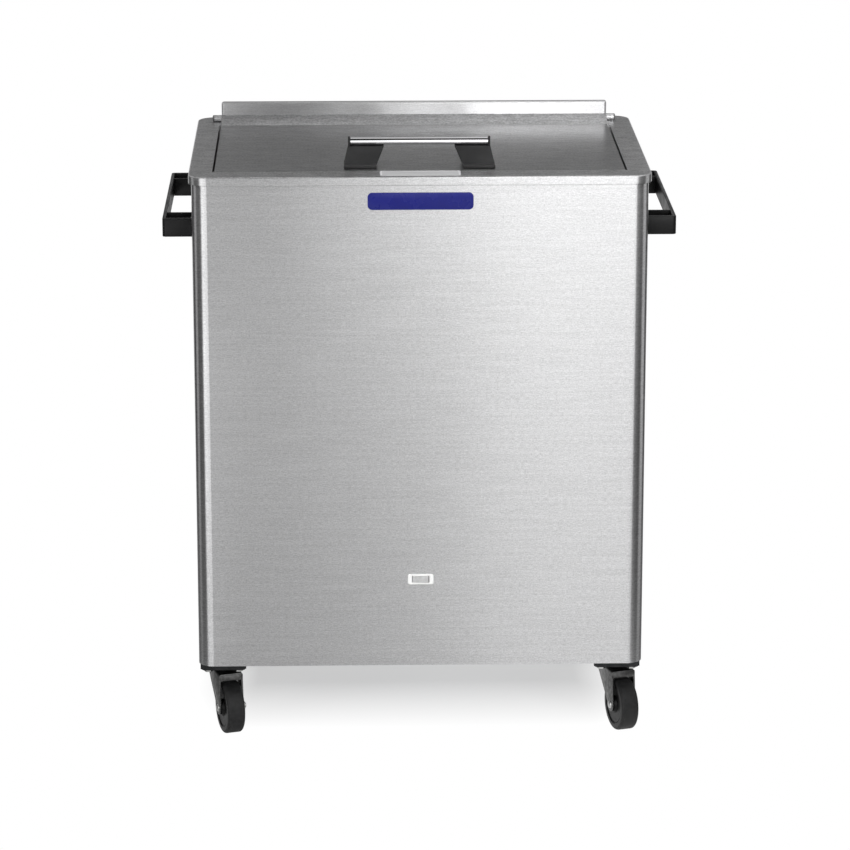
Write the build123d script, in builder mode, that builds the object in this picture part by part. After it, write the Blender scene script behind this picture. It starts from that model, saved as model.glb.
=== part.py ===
from build123d import *
import os
from math import cos, radians, sin

os.makedirs("parts", exist_ok=True)

# Overall cabinet, standing on the floor at z = 0 with its front towards -Y
deck_width = 648.0
deck_depth = 457.0
deck_top = 832.0
deck_sheet = 1.2
skirt_height = 12.7
skirt_gap = 2.8
cabinet_corner = 22.0
wall_sheet = 1.2
edge_bend = 2.0
fit = 0.3
cut_slack = 5.0

# Rear of the cabinet
rear_return = 40.0
panel_sheet = 1.2
panel_lap = 15.0
dish_side = 10.0
dish_lift = 31.0
dish_drop = 28.0
dish_depth = 16.0
louvre_length = 120.0
louvre_height = 7.0
louvre_hood = 4.0
louvre_pitch_x = 150.0
louvre_pitch_z = 22.0
louvre_columns = 2
louvre_rows = 7

# Lid opening in the deck, and the ledge that the lid gasket seats on
opening_front_margin = 41.0
opening_rear_margin = 66.0
opening_side_margin = 33.0
ledge_drop = 26.0
ledge_width = 26.0
strip_thickness = 2.0
strip_lip = 22.0

# Inner tank and its insulation, over the machine compartment
machine_height = 279.0
tank_sheet = 1.0
tank_corner = 20.0
floor_foam = 50.0
foam_top_drop = 14.0
divider_sheet = 1.2
divider_flange = 20.0

# Evaporator tube wound to and fro round the tank
evaporator_tube = 4.0
evaporator_passes = 6
evaporator_pitch = 42.0
evaporator_bend = 18.9
evaporator_rise = 60.0
evaporator_gap = 60.0
evaporator_tail = 17.0

# Base pan and the two rails that carry the casters
pan_sheet = 1.5
pan_flange = 25.0
rail_width = 66.0
rail_end_inset = 28.5
rail_height = 14.0
rail_sheet = 2.0

# Lid
lid_side_gap = 3.0
lid_front_gap = 1.4
lid_rear_gap = 3.0
lid_sheet = 1.0
lid_edge = 18.0
lid_pan_sheet = 2.0
lid_pan_rim = 10.0
gasket_width = 10.0
ramp_run = 25.0
ramp_rise = 11.0
upstand_height = 30.5
upstand_return = 7.0
upstand_end_start = 12.0
upstand_bend = 0.9

# Continuous hinge behind the lid's upstand
barrel_radius = 5.0
barrel_length = 599.0
knuckle_count = 13
knuckle_gap = 0.4
pin_radius = 2.0
pin_running = 0.05
pin_seat = 0.02
pin_head = 2.5
pin_dome = 2.0
leaf_sheet = 1.5
fixed_leaf_reach = 26.5
leaf_screw_count = 6
moving_leaf_height = 18.0

# Lid handle
bar_radius = 6.0
bar_length = 195.0
bar_back = 95.0
bar_rise = 32.0
bar_seat = 0.1
ear_thickness = 3.0
ear_radius = 7.0
foot_front = 54.0
foot_depth = 44.0
foot_height = 4.4
foot_inner = 60.7
foot_width = 45.6
leg_front = 66.6
leg_back = 96.0
leg_top_inner = 49.7
leg_top_front = 88.5
leg_top_back = 101.0
handle_screw_pitch = 24.0
handle_screw_back = 85.0

# Side handles
strap_drop = 71.0
strap_height = 26.0
strap_thickness = 5.0
strap_reach = 43.0
strap_front = 60.0
strap_back = 69.0
strap_bend = 5.0
bracket_sheet = 2.0
bracket_inner_wall = 3.0
bracket_inboard = 45.0
bracket_screw_pitch = 13.0

# Front badge plate, deck label and rocker switch
badge_width = 148.0
badge_height = 24.5
badge_corner = 6.5
badge_thickness = 1.0
badge_drop = 35.5
label_width = 112.0
label_depth = 34.0
label_thickness = 0.4
switch_height = 244.0
bezel_width = 36.8
bezel_height = 15.2
bezel_thickness = 2.0
bezel_corner = 3.0
bezel_round = 0.7
switch_body_width = 31.0
switch_body_height = 13.6
switch_body_depth = 17.0
switch_pivot_depth = 4.0
rocker_radius = 12.2
rocker_height = 9.8
rocker_tip = 6.2
rocker_valley = 5.2
rocker_back = 3.0
rocker_tilt = 7.0
rocker_clear = 0.3
rocker_well = 6.0
trunnion_radius = 1.6
trunnion_length = 1.2

# Compressor on its rubber feet
compressor_side_gap = 73.5
compressor_y = 20.0
compressor_radius = 75.0
compressor_height = 165.0
compressor_dome = 34.0
compressor_seam = 4.0
mount_plate_width = 190.0
mount_plate_depth = 130.0
mount_plate_sheet = 3.0
grommet_height = 12.0
grommet_radius = 11.0
grommet_hole = 4.0
grommet_inset = 16.0
stub_radius = 6.0
stub_offset = 30.0
stub_top = 5.0

# Condenser, its fan and shroud
condenser_side_gap = 48.5
condenser_rear_gap = 41.6
condenser_width = 260.0
condenser_depth = 45.0
condenser_height = 225.0
fin_sheet = 0.8
fin_pitch = 10.0
condenser_tube = 4.5
condenser_rows = 6
condenser_row_pitch = 37.0
condenser_first_row = 19.5
shroud_sheet = 1.2
shroud_depth = 20.0
shroud_hole = 95.0
shroud_collar = 14.0
fan_radius = 90.0
fan_hub_radius = 18.0
fan_hub_depth = 14.0
blade_root = 2.0
fan_blades = 5
blade_width = 34.0
blade_sheet = 1.5
blade_pitch = 28.0
fan_shaft_radius = 3.0
motor_radius = 30.0
motor_depth = 45.0
motor_gap = 4.0
arm_width = 10.0
arm_sheet = 3.0
arm_overlap = 12.0

# Refrigerant lines and the filter drier
line_radius = 4.0
capillary_radius = 1.5
line_bend = 15.0
drier_gap = 29.6
drier_radius = 11.0
drier_length = 110.0
drier_lift = 49.5
drier_cone = 5.5
suction_drop = 41.8
capillary_rise = 20.0
capillary_back = 33.0

# Thermostat, wiring box and cord gland in the rear service panel
thermostat_inset = 70.0
thermostat_drop = 65.0
thermostat_width = 50.0
thermostat_height = 40.0
thermostat_depth = 30.0
knob_radius = 16.0
knob_height = 12.0
knob_gap = 0.5
knob_shaft_radius = 3.0
knob_shaft_length = 20.0
box_gap = 28.6
box_width = 70.0
box_depth = 45.0
box_height = 50.0
box_wall = 2.0
gland_inset = 50.0
gland_lift = 40.0
gland_bore = 4.2
gland_flange_radius = 12.0
gland_sleeve_radius = 9.0
gland_nose = 12.0
gland_inner = 10.0
gland_nut = 5.0

# Loose wire rack on the tank floor
rack_clear = 6.0
rack_wire = 2.5
rack_bars = 14

# Casters
wheel_radius = 38.0
wheel_width = 26.0
hub_radius = 11.0
hub_width = 30.2
tread_round = 4.0
caster_side_inset = 34.5
caster_end_inset = 70.0
caster_yaw = 17.0
caster_trail = 30.0
plate_width = 63.5
plate_depth = 80.0
plate_sheet = 2.5
plate_corner = 6.0
race_radius = 21.0
race_top_radius = 24.0
wheel_clear = 11.5
race_height = 7.5
yoke_sheet = 2.5
yoke_width = 36.0
yoke_bend = 3.0
yoke_lead = 22.0
yoke_tail = 36.0
yoke_crown_drop = 9.0
axle_boss = 10.0
kingpin_radius = 5.0
kingpin_running = 0.05
kingpin_head_radius = 9.0
kingpin_head = 4.0
axle_radius = 4.0
axle_running = 0.05
bolt_clear = 0.1
hex_across = 12.7
hex_height = 5.0

# Fasteners
screw_radius = 2.0
screw_length = 8.0
screw_head_radius = 4.0
screw_head = 1.6
screw_clear = 0.2
screw_edge = 16.0
screw_end_inset = 25.0
bolt_radius = 3.5
bolt_length = 8.0
bolt_hex = 11.0
bolt_head = 4.0
bolt_pitch_x = 44.0
bolt_pitch_y = 60.0
handle_screw_radius = 2.4
handle_screw_length = 11.0
handle_screw_head_radius = 4.5
handle_screw_head = 3.0

# Places that follow from the sizes above
crown_under = 2 * wheel_radius + wheel_clear
yoke_top = crown_under + yoke_sheet
rail_bottom = yoke_top + race_height + plate_sheet
cabinet_bottom = rail_bottom + rail_height
cabinet_width = deck_width - 2 * (deck_sheet + skirt_gap)
cabinet_depth = deck_depth - 2 * (deck_sheet + skirt_gap)
cabinet_side = cabinet_width / 2
cabinet_rear = cabinet_depth / 2
cabinet_front = -cabinet_rear
deck_front = -deck_depth / 2
deck_corner = cabinet_corner + deck_sheet + skirt_gap
deck_under = deck_top - deck_sheet
inner_width = cabinet_width - 2 * (wall_sheet + fit)
inner_front = cabinet_front + wall_sheet + fit
panel_outer = cabinet_rear - wall_sheet
panel_inner = panel_outer - panel_sheet
inner_rear = panel_inner - fit
inner_depth = inner_rear - inner_front
inner_mid = (inner_rear + inner_front) / 2
inner_corner = cabinet_corner - wall_sheet - fit
opening_width = deck_width - 2 * opening_side_margin
opening_depth = deck_depth - opening_front_margin - opening_rear_margin
opening_mid = deck_front + opening_front_margin + opening_depth / 2
ledge_top = deck_top - ledge_drop
flange_top = ledge_top - strip_thickness
tank_width = opening_width - 2 * ledge_width
tank_depth = opening_depth - 2 * ledge_width
divider_top = cabinet_bottom + machine_height
divider_under = divider_top - divider_sheet
tank_under = divider_top + floor_foam
tank_floor = tank_under + tank_sheet
tank_height = flange_top - tank_floor
pan_top = cabinet_bottom + pan_sheet
rail_length = cabinet_depth - 2 * rail_end_inset
caster_x = cabinet_side - caster_side_inset
caster_y = cabinet_rear - caster_end_inset
lid_width = opening_width - 2 * lid_side_gap
lid_front = deck_front + opening_front_margin + lid_front_gap
lid_rear = deck_front + opening_front_margin + opening_depth - lid_rear_gap
lid_depth = lid_rear - lid_front
lid_mid = (lid_front + lid_rear) / 2
lid_skin_bottom = deck_top - lid_edge
lid_bottom = lid_skin_bottom - lid_pan_sheet
upstand_front = lid_rear + ramp_run
upstand_top = deck_top + upstand_height
hinge_y = upstand_front + lid_sheet + barrel_radius
hinge_z = deck_top + barrel_radius
bar_y = deck_front + bar_back
bar_z = deck_top + bar_rise
rear_window = cabinet_width - 2 * rear_return
dish_width = rear_window - 2 * dish_side
dish_bottom = cabinet_bottom + dish_lift
dish_top = divider_top - dish_drop
dish_floor = panel_outer - dish_depth
dish_back = dish_floor - panel_sheet
thermostat_x = thermostat_inset - dish_width / 2
thermostat_z = dish_top - thermostat_drop
gland_x = dish_width / 2 - gland_inset
gland_z = dish_bottom + gland_lift
switch_pivot = cabinet_front + switch_pivot_depth

# Screw places, each with its head on the outside and its shank pointing in
rear_screws = [
    Location((side * (rear_window + panel_lap) / 2, cabinet_rear, z), (-90, 0, 0))
    for side in (-1, 1)
    for z in (divider_top + screw_end_inset, (divider_top + deck_under) / 2, deck_under - screw_end_inset)
]
service_screws = [
    Location((side * (rear_window + panel_lap) / 2, cabinet_rear, z), (-90, 0, 0))
    for side in (-1, 1)
    for z in (dish_bottom + screw_edge, dish_top - screw_edge)
]
leaf_screw_pitch = (barrel_length - 2 * fixed_leaf_reach) / leaf_screw_count
leaf_screw_y = hinge_y + fixed_leaf_reach / 2 + leaf_sheet
leaf_screws = [
    Location((leaf_screw_pitch * (step - (leaf_screw_count - 1) / 2), leaf_screw_y, deck_top + leaf_sheet))
    for step in range(leaf_screw_count)
]
strap_bottom = deck_top - strap_drop - strap_height
strap_start = deck_front + strap_front
strap_end = deck_depth / 2 - strap_back
strap_length = strap_end - strap_start
bracket_mid = strap_thickness + (bracket_inboard - strap_thickness) / 2
strap_mid = strap_bottom + strap_height / 2
side_screws = [
    Location((side * (cabinet_side + bracket_sheet), y, z), (0, 90 * side, 0))
    for side in (-1, 1)
    for y in (strap_start + bracket_mid, strap_end - bracket_mid)
    for z in (strap_mid - bracket_screw_pitch / 2, strap_mid + bracket_screw_pitch / 2)
]
wall_screws = rear_screws + service_screws + side_screws
evaporator_y = opening_mid + tank_depth / 2 + tank_sheet + evaporator_tube + fit
inlet_spot = (-evaporator_gap, evaporator_y)
outlet_spot = (0, evaporator_y)

# Outer wrap: one sheet bent round the front and both sides, returned at the rear
with BuildPart() as outer_wrap:
    with BuildSketch(Plane.XY.offset(cabinet_bottom)):
        RectangleRounded(cabinet_width, cabinet_depth, cabinet_corner)
        RectangleRounded(
            cabinet_width - 2 * wall_sheet,
            cabinet_depth - 2 * wall_sheet,
            cabinet_corner - wall_sheet,
            mode=Mode.SUBTRACT,
        )
        with Locations((0, cabinet_rear)):
            Rectangle(rear_window, 2 * cut_slack, mode=Mode.SUBTRACT)
    extrude(amount=deck_under - cabinet_bottom)
    with BuildSketch(Plane.XZ.offset(-cabinet_front)):
        with Locations((0, switch_height)):
            Rectangle(switch_body_width + 2 * fit, switch_body_height + 2 * fit)
    extrude(amount=-cut_slack, mode=Mode.SUBTRACT)
    with Locations(*wall_screws):
        Cylinder(screw_radius + screw_clear, 2 * cut_slack, mode=Mode.SUBTRACT)

# Base pan with an upturned flange inside the wrap
with BuildPart() as base_pan:
    with BuildSketch(Plane.XY.offset(cabinet_bottom)):
        with Locations((0, inner_mid)):
            RectangleRounded(inner_width, inner_depth, inner_corner)
    extrude(amount=pan_flange)
    with BuildSketch(Plane.XY.offset(pan_top)):
        with Locations((0, inner_mid)):
            RectangleRounded(
                inner_width - 2 * pan_sheet,
                inner_depth - 2 * pan_sheet,
                inner_corner - pan_sheet,
            )
    extrude(amount=pan_flange, mode=Mode.SUBTRACT)

# Caster rails: two channels under the pan, open side up
caster_spots = [
    (side * caster_x, end * caster_y) for end in (-1, 1) for side in (-1, 1)
]
with BuildPart() as caster_rails:
    with BuildSketch(Plane.XY.offset(rail_bottom)):
        with Locations((-caster_x, 0), (caster_x, 0)):
            Rectangle(rail_width, rail_length)
    extrude(amount=rail_height)
    with BuildSketch(Plane.XY.offset(rail_bottom + rail_sheet)):
        with Locations((-caster_x, 0), (caster_x, 0)):
            Rectangle(rail_width - 2 * rail_sheet, rail_length - 2 * rail_sheet)
    extrude(amount=rail_height, mode=Mode.SUBTRACT)
    with BuildSketch(Plane.XY.offset(rail_bottom)):
        with Locations(*caster_spots):
            with GridLocations(bolt_pitch_x, bolt_pitch_y, 2, 2):
                Circle(bolt_radius + bolt_clear)
    extrude(amount=rail_sheet, mode=Mode.SUBTRACT)

# Deck: a cap with a skirt outside the wrap and turned-down walls round the lid opening
with BuildPart() as top_deck:
    with BuildSketch(Plane.XY.offset(deck_top - skirt_height)):
        RectangleRounded(deck_width, deck_depth, deck_corner)
    extrude(amount=skirt_height)
    fillet(top_deck.faces().sort_by(Axis.Z)[-1].outer_wire().edges(), radius=edge_bend)
    with BuildSketch(Plane.XY.offset(deck_top - skirt_height)):
        RectangleRounded(deck_width - 2 * deck_sheet, deck_depth - 2 * deck_sheet, deck_corner - deck_sheet)
    extrude(amount=skirt_height - deck_sheet, mode=Mode.SUBTRACT)
    with BuildSketch(Plane.XY.offset(flange_top)):
        with Locations((0, opening_mid)):
            Rectangle(opening_width + 2 * deck_sheet, opening_depth + 2 * deck_sheet)
    extrude(amount=deck_under - flange_top)
    with BuildSketch(Plane.XY.offset(flange_top)):
        with Locations((0, opening_mid)):
            Rectangle(opening_width, opening_depth)
    extrude(amount=deck_top - flange_top, mode=Mode.SUBTRACT)
    with Locations(*leaf_screws):
        Cylinder(screw_radius + screw_clear, 2 * cut_slack, mode=Mode.SUBTRACT)

# Inner tank: a seamless bin with a flange under the ledge
with BuildPart() as inner_tank:
    with BuildSketch(Plane.XY.offset(tank_under)):
        with Locations((0, opening_mid)):
            RectangleRounded(
                tank_width + 2 * tank_sheet,
                tank_depth + 2 * tank_sheet,
                tank_corner + tank_sheet,
            )
    extrude(amount=flange_top - tank_under)
    with BuildSketch(Plane.XY.offset(flange_top)):
        with Locations((0, opening_mid)):
            Rectangle(opening_width + 2 * deck_sheet, opening_depth + 2 * deck_sheet)
    extrude(amount=-tank_sheet)
    with BuildSketch(Plane.XY.offset(tank_floor)):
        with Locations((0, opening_mid)):
            RectangleRounded(tank_width, tank_depth, tank_corner)
    extrude(amount=tank_height, mode=Mode.SUBTRACT)

# Breaker strip: plastic ledge that parts the warm deck from the cold tank
with BuildPart() as breaker_strip:
    with BuildSketch(Plane.XY.offset(flange_top)):
        with Locations((0, opening_mid)):
            Rectangle(opening_width, opening_depth)
            RectangleRounded(tank_width, tank_depth, tank_corner, mode=Mode.SUBTRACT)
    extrude(amount=strip_thickness)
    with BuildSketch(Plane.XY.offset(ledge_top)):
        with Locations((0, opening_mid)):
            RectangleRounded(tank_width - 2 * fit, tank_depth - 2 * fit, tank_corner - fit)
    extrude(amount=-strip_lip)
    with BuildSketch(Plane.XY.offset(ledge_top)):
        with Locations((0, opening_mid)):
            RectangleRounded(
                tank_width - 2 * (fit + strip_thickness),
                tank_depth - 2 * (fit + strip_thickness),
                tank_corner - fit - strip_thickness,
            )
    extrude(amount=-strip_lip, mode=Mode.SUBTRACT)
    with BuildSketch(Plane.XY.offset(flange_top)):
        with Locations((0, opening_mid)):
            RectangleRounded(tank_width + 2 * strip_thickness, tank_depth + 2 * strip_thickness, tank_corner)
            RectangleRounded(
                tank_width - 2 * (fit + strip_thickness),
                tank_depth - 2 * (fit + strip_thickness),
                tank_corner - fit - strip_thickness,
                mode=Mode.SUBTRACT,
            )
    extrude(amount=strip_thickness)

# Evaporator: one tube that runs to and fro round the tank in level passes
run_x = tank_width / 2 + tank_sheet + evaporator_tube + fit
run_front = opening_mid - tank_depth / 2 - tank_sheet - evaporator_tube - fit
evaporator_start = tank_floor + evaporator_rise
evaporator_corner = tank_corner + tank_sheet + evaporator_tube + fit
evaporator_points = [(*inlet_spot, divider_under - evaporator_tail)]
evaporator_bends = []
for level in range(evaporator_passes):
    z = evaporator_start + level * evaporator_pitch
    side = -1 if level % 2 == 0 else 1
    evaporator_points += [
        (side * evaporator_gap, evaporator_y, z),
        (side * run_x, evaporator_y, z),
        (side * run_x, run_front, z),
        (-side * run_x, run_front, z),
        (-side * run_x, evaporator_y, z),
        (-side * evaporator_gap, evaporator_y, z),
    ]
    evaporator_bends += [evaporator_bend, *[evaporator_corner] * 4, evaporator_bend]
evaporator_points.pop()
evaporator_points += [
    (*outlet_spot, evaporator_start + (evaporator_passes - 1) * evaporator_pitch),
    (*outlet_spot, divider_under - evaporator_tail),
]
with BuildPart() as evaporator_coil:
    with BuildLine():
        coil_path = FilletPolyline(*evaporator_points, radius=evaporator_bends)
    with BuildSketch(Plane(origin=coil_path @ 0, z_dir=coil_path % 0)):
        Circle(evaporator_tube)
    sweep(path=coil_path)

# Foam between the tank and the cabinet walls, with room for the evaporator
coil_room = 2 * (evaporator_tube + fit)
with BuildPart() as foam_insulation:
    with BuildSketch(Plane.XY.offset(divider_top)):
        with Locations((0, inner_mid)):
            RectangleRounded(inner_width, inner_depth, inner_corner)
    extrude(amount=deck_top - foam_top_drop - divider_top)
    with BuildSketch(Plane.XY.offset(tank_under)):
        with Locations((0, opening_mid)):
            RectangleRounded(
                tank_width + 2 * (tank_sheet + coil_room),
                tank_depth + 2 * (tank_sheet + coil_room),
                tank_corner + tank_sheet + coil_room,
            )
    extrude(amount=tank_height, mode=Mode.SUBTRACT)
    with BuildSketch(Plane.XY.offset(flange_top - tank_sheet)):
        with Locations((0, opening_mid)):
            Rectangle(opening_width + 2 * (deck_sheet + fit), opening_depth + 2 * (deck_sheet + fit))
    extrude(amount=ledge_drop, mode=Mode.SUBTRACT)
    with BuildSketch(Plane.XY.offset(divider_top)):
        with Locations(inlet_spot, outlet_spot):
            Circle(evaporator_tube + fit)
    extrude(amount=floor_foam, mode=Mode.SUBTRACT)
    with Locations(*wall_screws):
        Cylinder(screw_radius + fit, 2 * (screw_length + fit), mode=Mode.SUBTRACT)

# Divider panel over the machine compartment, flanged down inside the wrap
with BuildPart() as divider_panel:
    with BuildSketch(Plane.XY.offset(divider_top)):
        with Locations((0, inner_mid)):
            RectangleRounded(inner_width, inner_depth, inner_corner)
        with Locations(inlet_spot, outlet_spot):
            Circle(evaporator_tube + fit, mode=Mode.SUBTRACT)
    extrude(amount=-divider_flange)
    with BuildSketch(Plane.XY.offset(divider_under)):
        with Locations((0, inner_mid)):
            RectangleRounded(
                inner_width - 2 * divider_sheet,
                inner_depth - 2 * divider_sheet,
                inner_corner - divider_sheet,
            )
    extrude(amount=-divider_flange, mode=Mode.SUBTRACT)

# Plain rear panel behind the wrap's return flanges
with BuildPart() as rear_panel:
    with BuildSketch(Plane.XZ.offset(-panel_outer)):
        with Locations((0, (divider_top + deck_under) / 2)):
            Rectangle(rear_window + 2 * panel_lap, deck_under - divider_top - 2 * fit)
    extrude(amount=panel_sheet)
    with Locations(*rear_screws):
        Cylinder(screw_radius + screw_clear, 2 * cut_slack, mode=Mode.SUBTRACT)

# Service panel: a dished sheet with hooded louvres, a thermostat hole and a gland hole
dish_mid = (dish_bottom + dish_top) / 2
service_bottom = cabinet_bottom + fit
with BuildPart() as service_panel:
    with BuildSketch(Plane.XZ.offset(-panel_outer)):
        with Locations((0, (service_bottom + divider_top) / 2)):
            Rectangle(rear_window + 2 * panel_lap, divider_top - service_bottom - 2 * fit)
    extrude(amount=panel_sheet)
    with BuildSketch(Plane.XZ.offset(-panel_outer)):
        with Locations((0, dish_mid)):
            Rectangle(dish_width + 2 * panel_sheet, dish_top - dish_bottom + 2 * panel_sheet)
    extrude(amount=dish_depth + panel_sheet)
    with BuildSketch(Plane.XZ.offset(-panel_outer)):
        with Locations((0, dish_mid)):
            Rectangle(dish_width, dish_top - dish_bottom)
    extrude(amount=dish_depth, mode=Mode.SUBTRACT)
    with Locations((0, dish_floor, dish_mid)):
        with GridLocations(louvre_pitch_x, 0, louvre_columns, 1):
            for row in range(louvre_rows):
                with Locations((0, 0, louvre_pitch_z * (row - (louvre_rows - 1) / 2))):
                    Wedge(
                        louvre_length, louvre_hood, louvre_height, 0, 0, louvre_length, panel_sheet,
                        align=(Align.CENTER, Align.MIN, Align.CENTER),
                    )
                    with Locations((0, -panel_sheet, -panel_sheet)):
                        Wedge(
                            louvre_length - 2 * panel_sheet, louvre_hood, louvre_height,
                            0, 0, louvre_length - 2 * panel_sheet, panel_sheet,
                            align=(Align.CENTER, Align.MIN, Align.CENTER),
                            mode=Mode.SUBTRACT,
                        )
    with Locations((thermostat_x, dish_floor, thermostat_z)):
        Cylinder(knob_shaft_radius + fit, 2 * cut_slack, rotation=(90, 0, 0), mode=Mode.SUBTRACT)
    with Locations((gland_x, dish_floor, gland_z)):
        Cylinder(gland_sleeve_radius + fit, 2 * cut_slack, rotation=(90, 0, 0), mode=Mode.SUBTRACT)
    with Locations(*service_screws):
        Cylinder(screw_radius + screw_clear, 2 * cut_slack, mode=Mode.SUBTRACT)

# Compressor: a welded can with a seam, standing on a plate with four feet
compressor_x = inner_width / 2 - compressor_side_gap - mount_plate_width / 2
grommet_pitch_x = mount_plate_width - 2 * grommet_inset
grommet_pitch_y = mount_plate_depth - 2 * grommet_inset
plate_bottom = pan_top + grommet_height
can_bottom = plate_bottom + mount_plate_sheet
can_top = can_bottom + compressor_height
seam_z = (can_bottom + can_top) / 2
with BuildPart() as compressor:
    with BuildSketch(Plane.XY.offset(can_bottom)):
        with Locations((compressor_x, compressor_y)):
            Circle(compressor_radius)
    extrude(amount=compressor_height)
    fillet(compressor.edges().sort_by(Axis.Z)[-1], radius=compressor_dome)
    with BuildSketch(Plane.XY.offset(seam_z)):
        with Locations((compressor_x, compressor_y)):
            Circle(compressor_radius + compressor_seam)
    extrude(amount=compressor_seam)
    with BuildSketch(Plane.XY.offset(plate_bottom)):
        with Locations((compressor_x, compressor_y)):
            Rectangle(mount_plate_width, mount_plate_depth)
            with GridLocations(grommet_pitch_x, grommet_pitch_y, 2, 2):
                Circle(grommet_hole, mode=Mode.SUBTRACT)
    extrude(amount=mount_plate_sheet)
    with BuildSketch(Plane.XY.offset(can_top - compressor_dome)):
        with Locations((compressor_x, compressor_y)):
            with GridLocations(2 * stub_offset, 0, 2, 1):
                Circle(stub_radius)
    extrude(amount=compressor_dome + stub_top)

# Rubber feet under the compressor plate
with BuildPart() as compressor_feet:
    with BuildSketch(Plane.XY.offset(pan_top)):
        with Locations((compressor_x, compressor_y)):
            with GridLocations(grommet_pitch_x, grommet_pitch_y, 2, 2):
                Circle(grommet_radius)
                Circle(grommet_hole, mode=Mode.SUBTRACT)
    extrude(amount=grommet_height)

# Condenser: fins on level tubes between two end plates that stand on the pan
condenser_x = condenser_side_gap + condenser_width / 2 - inner_width / 2
condenser_y = dish_back - condenser_rear_gap - condenser_depth / 2
fin_count = int(condenser_width // fin_pitch) + 1
tube_rows = [pan_top + condenser_first_row + row * condenser_row_pitch for row in range(condenser_rows)]
with BuildPart() as condenser:
    with Locations((condenser_x, condenser_y, pan_top + condenser_height / 2)):
        with GridLocations(fin_pitch, 0, fin_count, 1):
            Box(fin_sheet, condenser_depth, condenser_height)
    for row_z in tube_rows:
        with Locations((condenser_x, condenser_y, row_z)):
            Cylinder(condenser_tube, condenser_width + fin_sheet, rotation=(0, 90, 0))

# Fan shroud: a pan with a collared hole, on the condenser's front
condenser_front = condenser_y - condenser_depth / 2
condenser_mid = pan_top + condenser_height / 2
shroud_front = condenser_front - shroud_depth
with BuildPart() as fan_shroud:
    with BuildSketch(Plane.XZ.offset(-condenser_front)):
        with Locations((condenser_x, condenser_mid)):
            Rectangle(condenser_width, condenser_height)
    extrude(amount=shroud_depth)
    with BuildSketch(Plane.XZ.offset(-condenser_front)):
        with Locations((condenser_x, condenser_mid)):
            Rectangle(condenser_width - 2 * shroud_sheet, condenser_height - 2 * shroud_sheet)
    extrude(amount=shroud_depth - shroud_sheet, mode=Mode.SUBTRACT)
    with BuildSketch(Plane.XZ.offset(-shroud_front)):
        with Locations((condenser_x, condenser_mid)):
            Circle(shroud_hole + shroud_sheet)
    extrude(amount=shroud_collar)
    with BuildSketch(Plane.XZ.offset(-shroud_front + shroud_collar)):
        with Locations((condenser_x, condenser_mid)):
            Circle(shroud_hole)
    extrude(amount=-shroud_collar - shroud_depth, mode=Mode.SUBTRACT)

# Fan: pitched blades on a hub, with the shaft that runs in the motor
fan_plane = Plane(origin=(condenser_x, shroud_front, condenser_mid), x_dir=(1, 0, 0), z_dir=(0, -1, 0))
with BuildPart(fan_plane) as fan_blade:
    Cylinder(fan_hub_radius, fan_hub_depth)
    with PolarLocations((fan_radius + fan_hub_radius - blade_root) / 2, fan_blades):
        Box(fan_radius - fan_hub_radius + blade_root, blade_width, blade_sheet, rotation=(blade_pitch, 0, 0))
    Cylinder(
        fan_shaft_radius, fan_hub_depth / 2 + motor_gap + motor_depth / 2,
        align=(Align.CENTER, Align.CENTER, Align.MIN),
    )

# Fan motor on four arms that reach the shroud
motor_back = fan_hub_depth / 2 + motor_gap
arm_reach = shroud_hole + arm_overlap
arm_front = motor_back + motor_depth / 2
with BuildPart(fan_plane) as fan_motor:
    with Locations((0, 0, motor_back)):
        Cylinder(motor_radius, motor_depth, align=(Align.CENTER, Align.CENTER, Align.MIN))
        Cylinder(
            fan_shaft_radius + pin_running, motor_depth / 2 + fit,
            align=(Align.CENTER, Align.CENTER, Align.MIN), mode=Mode.SUBTRACT,
        )
    with PolarLocations(0, 4, start_angle=45):
        with Locations((motor_radius - arm_sheet, 0, arm_front)):
            Box(
                arm_reach - motor_radius + arm_sheet, arm_width, arm_sheet,
                align=(Align.MIN, Align.CENTER, Align.MIN),
            )
        with Locations((arm_reach, 0, 0)):
            Box(arm_sheet, arm_width, arm_front + arm_sheet, align=(Align.MAX, Align.CENTER, Align.MIN))

# Filter drier
condenser_end = condenser_x + (condenser_width + fin_sheet) / 2
drier_x = condenser_end + drier_gap
drier_bottom = pan_top + drier_lift
with BuildPart() as filter_drier:
    with BuildSketch(Plane.XY.offset(drier_bottom)):
        with Locations((drier_x, condenser_y)):
            Circle(drier_radius)
    extrude(amount=drier_length)
    chamfer(filter_drier.edges().filter_by(GeomType.CIRCLE), length=drier_cone)

# Refrigerant lines: discharge, liquid, capillary and suction
stub_z = can_top + stub_top
inlet_row = tube_rows[-1]
outlet_row = tube_rows[0]
tail_z = divider_under - evaporator_tail
capillary_y = condenser_y + capillary_back
capillary_z = drier_bottom + drier_length + capillary_rise
suction_z = divider_under - suction_drop
line_routes = {
    "discharge": (line_radius, line_bend, [
        (compressor_x - stub_offset, compressor_y, stub_z),
        (compressor_x - stub_offset, compressor_y, inlet_row),
        (compressor_x - stub_offset, condenser_y, inlet_row),
        (condenser_end, condenser_y, inlet_row),
    ]),
    "liquid": (line_radius, line_bend, [
        (condenser_end, condenser_y, outlet_row),
        (drier_x, condenser_y, outlet_row),
        (drier_x, condenser_y, drier_bottom),
    ]),
    "capillary": (capillary_radius, line_bend / 2, [
        (drier_x, condenser_y, drier_bottom + drier_length),
        (drier_x, condenser_y, capillary_z),
        (drier_x, capillary_y, capillary_z),
        (drier_x, capillary_y, tail_z - line_bend),
        (inlet_spot[0], capillary_y, tail_z - line_bend),
        (*inlet_spot, tail_z - line_bend),
        (*inlet_spot, tail_z),
    ]),
    "suction": (line_radius, line_bend, [
        (*outlet_spot, tail_z),
        (*outlet_spot, suction_z),
        (compressor_x + stub_offset, evaporator_y, suction_z),
        (compressor_x + stub_offset, compressor_y, suction_z),
        (compressor_x + stub_offset, compressor_y, stub_z),
    ]),
}
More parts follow.
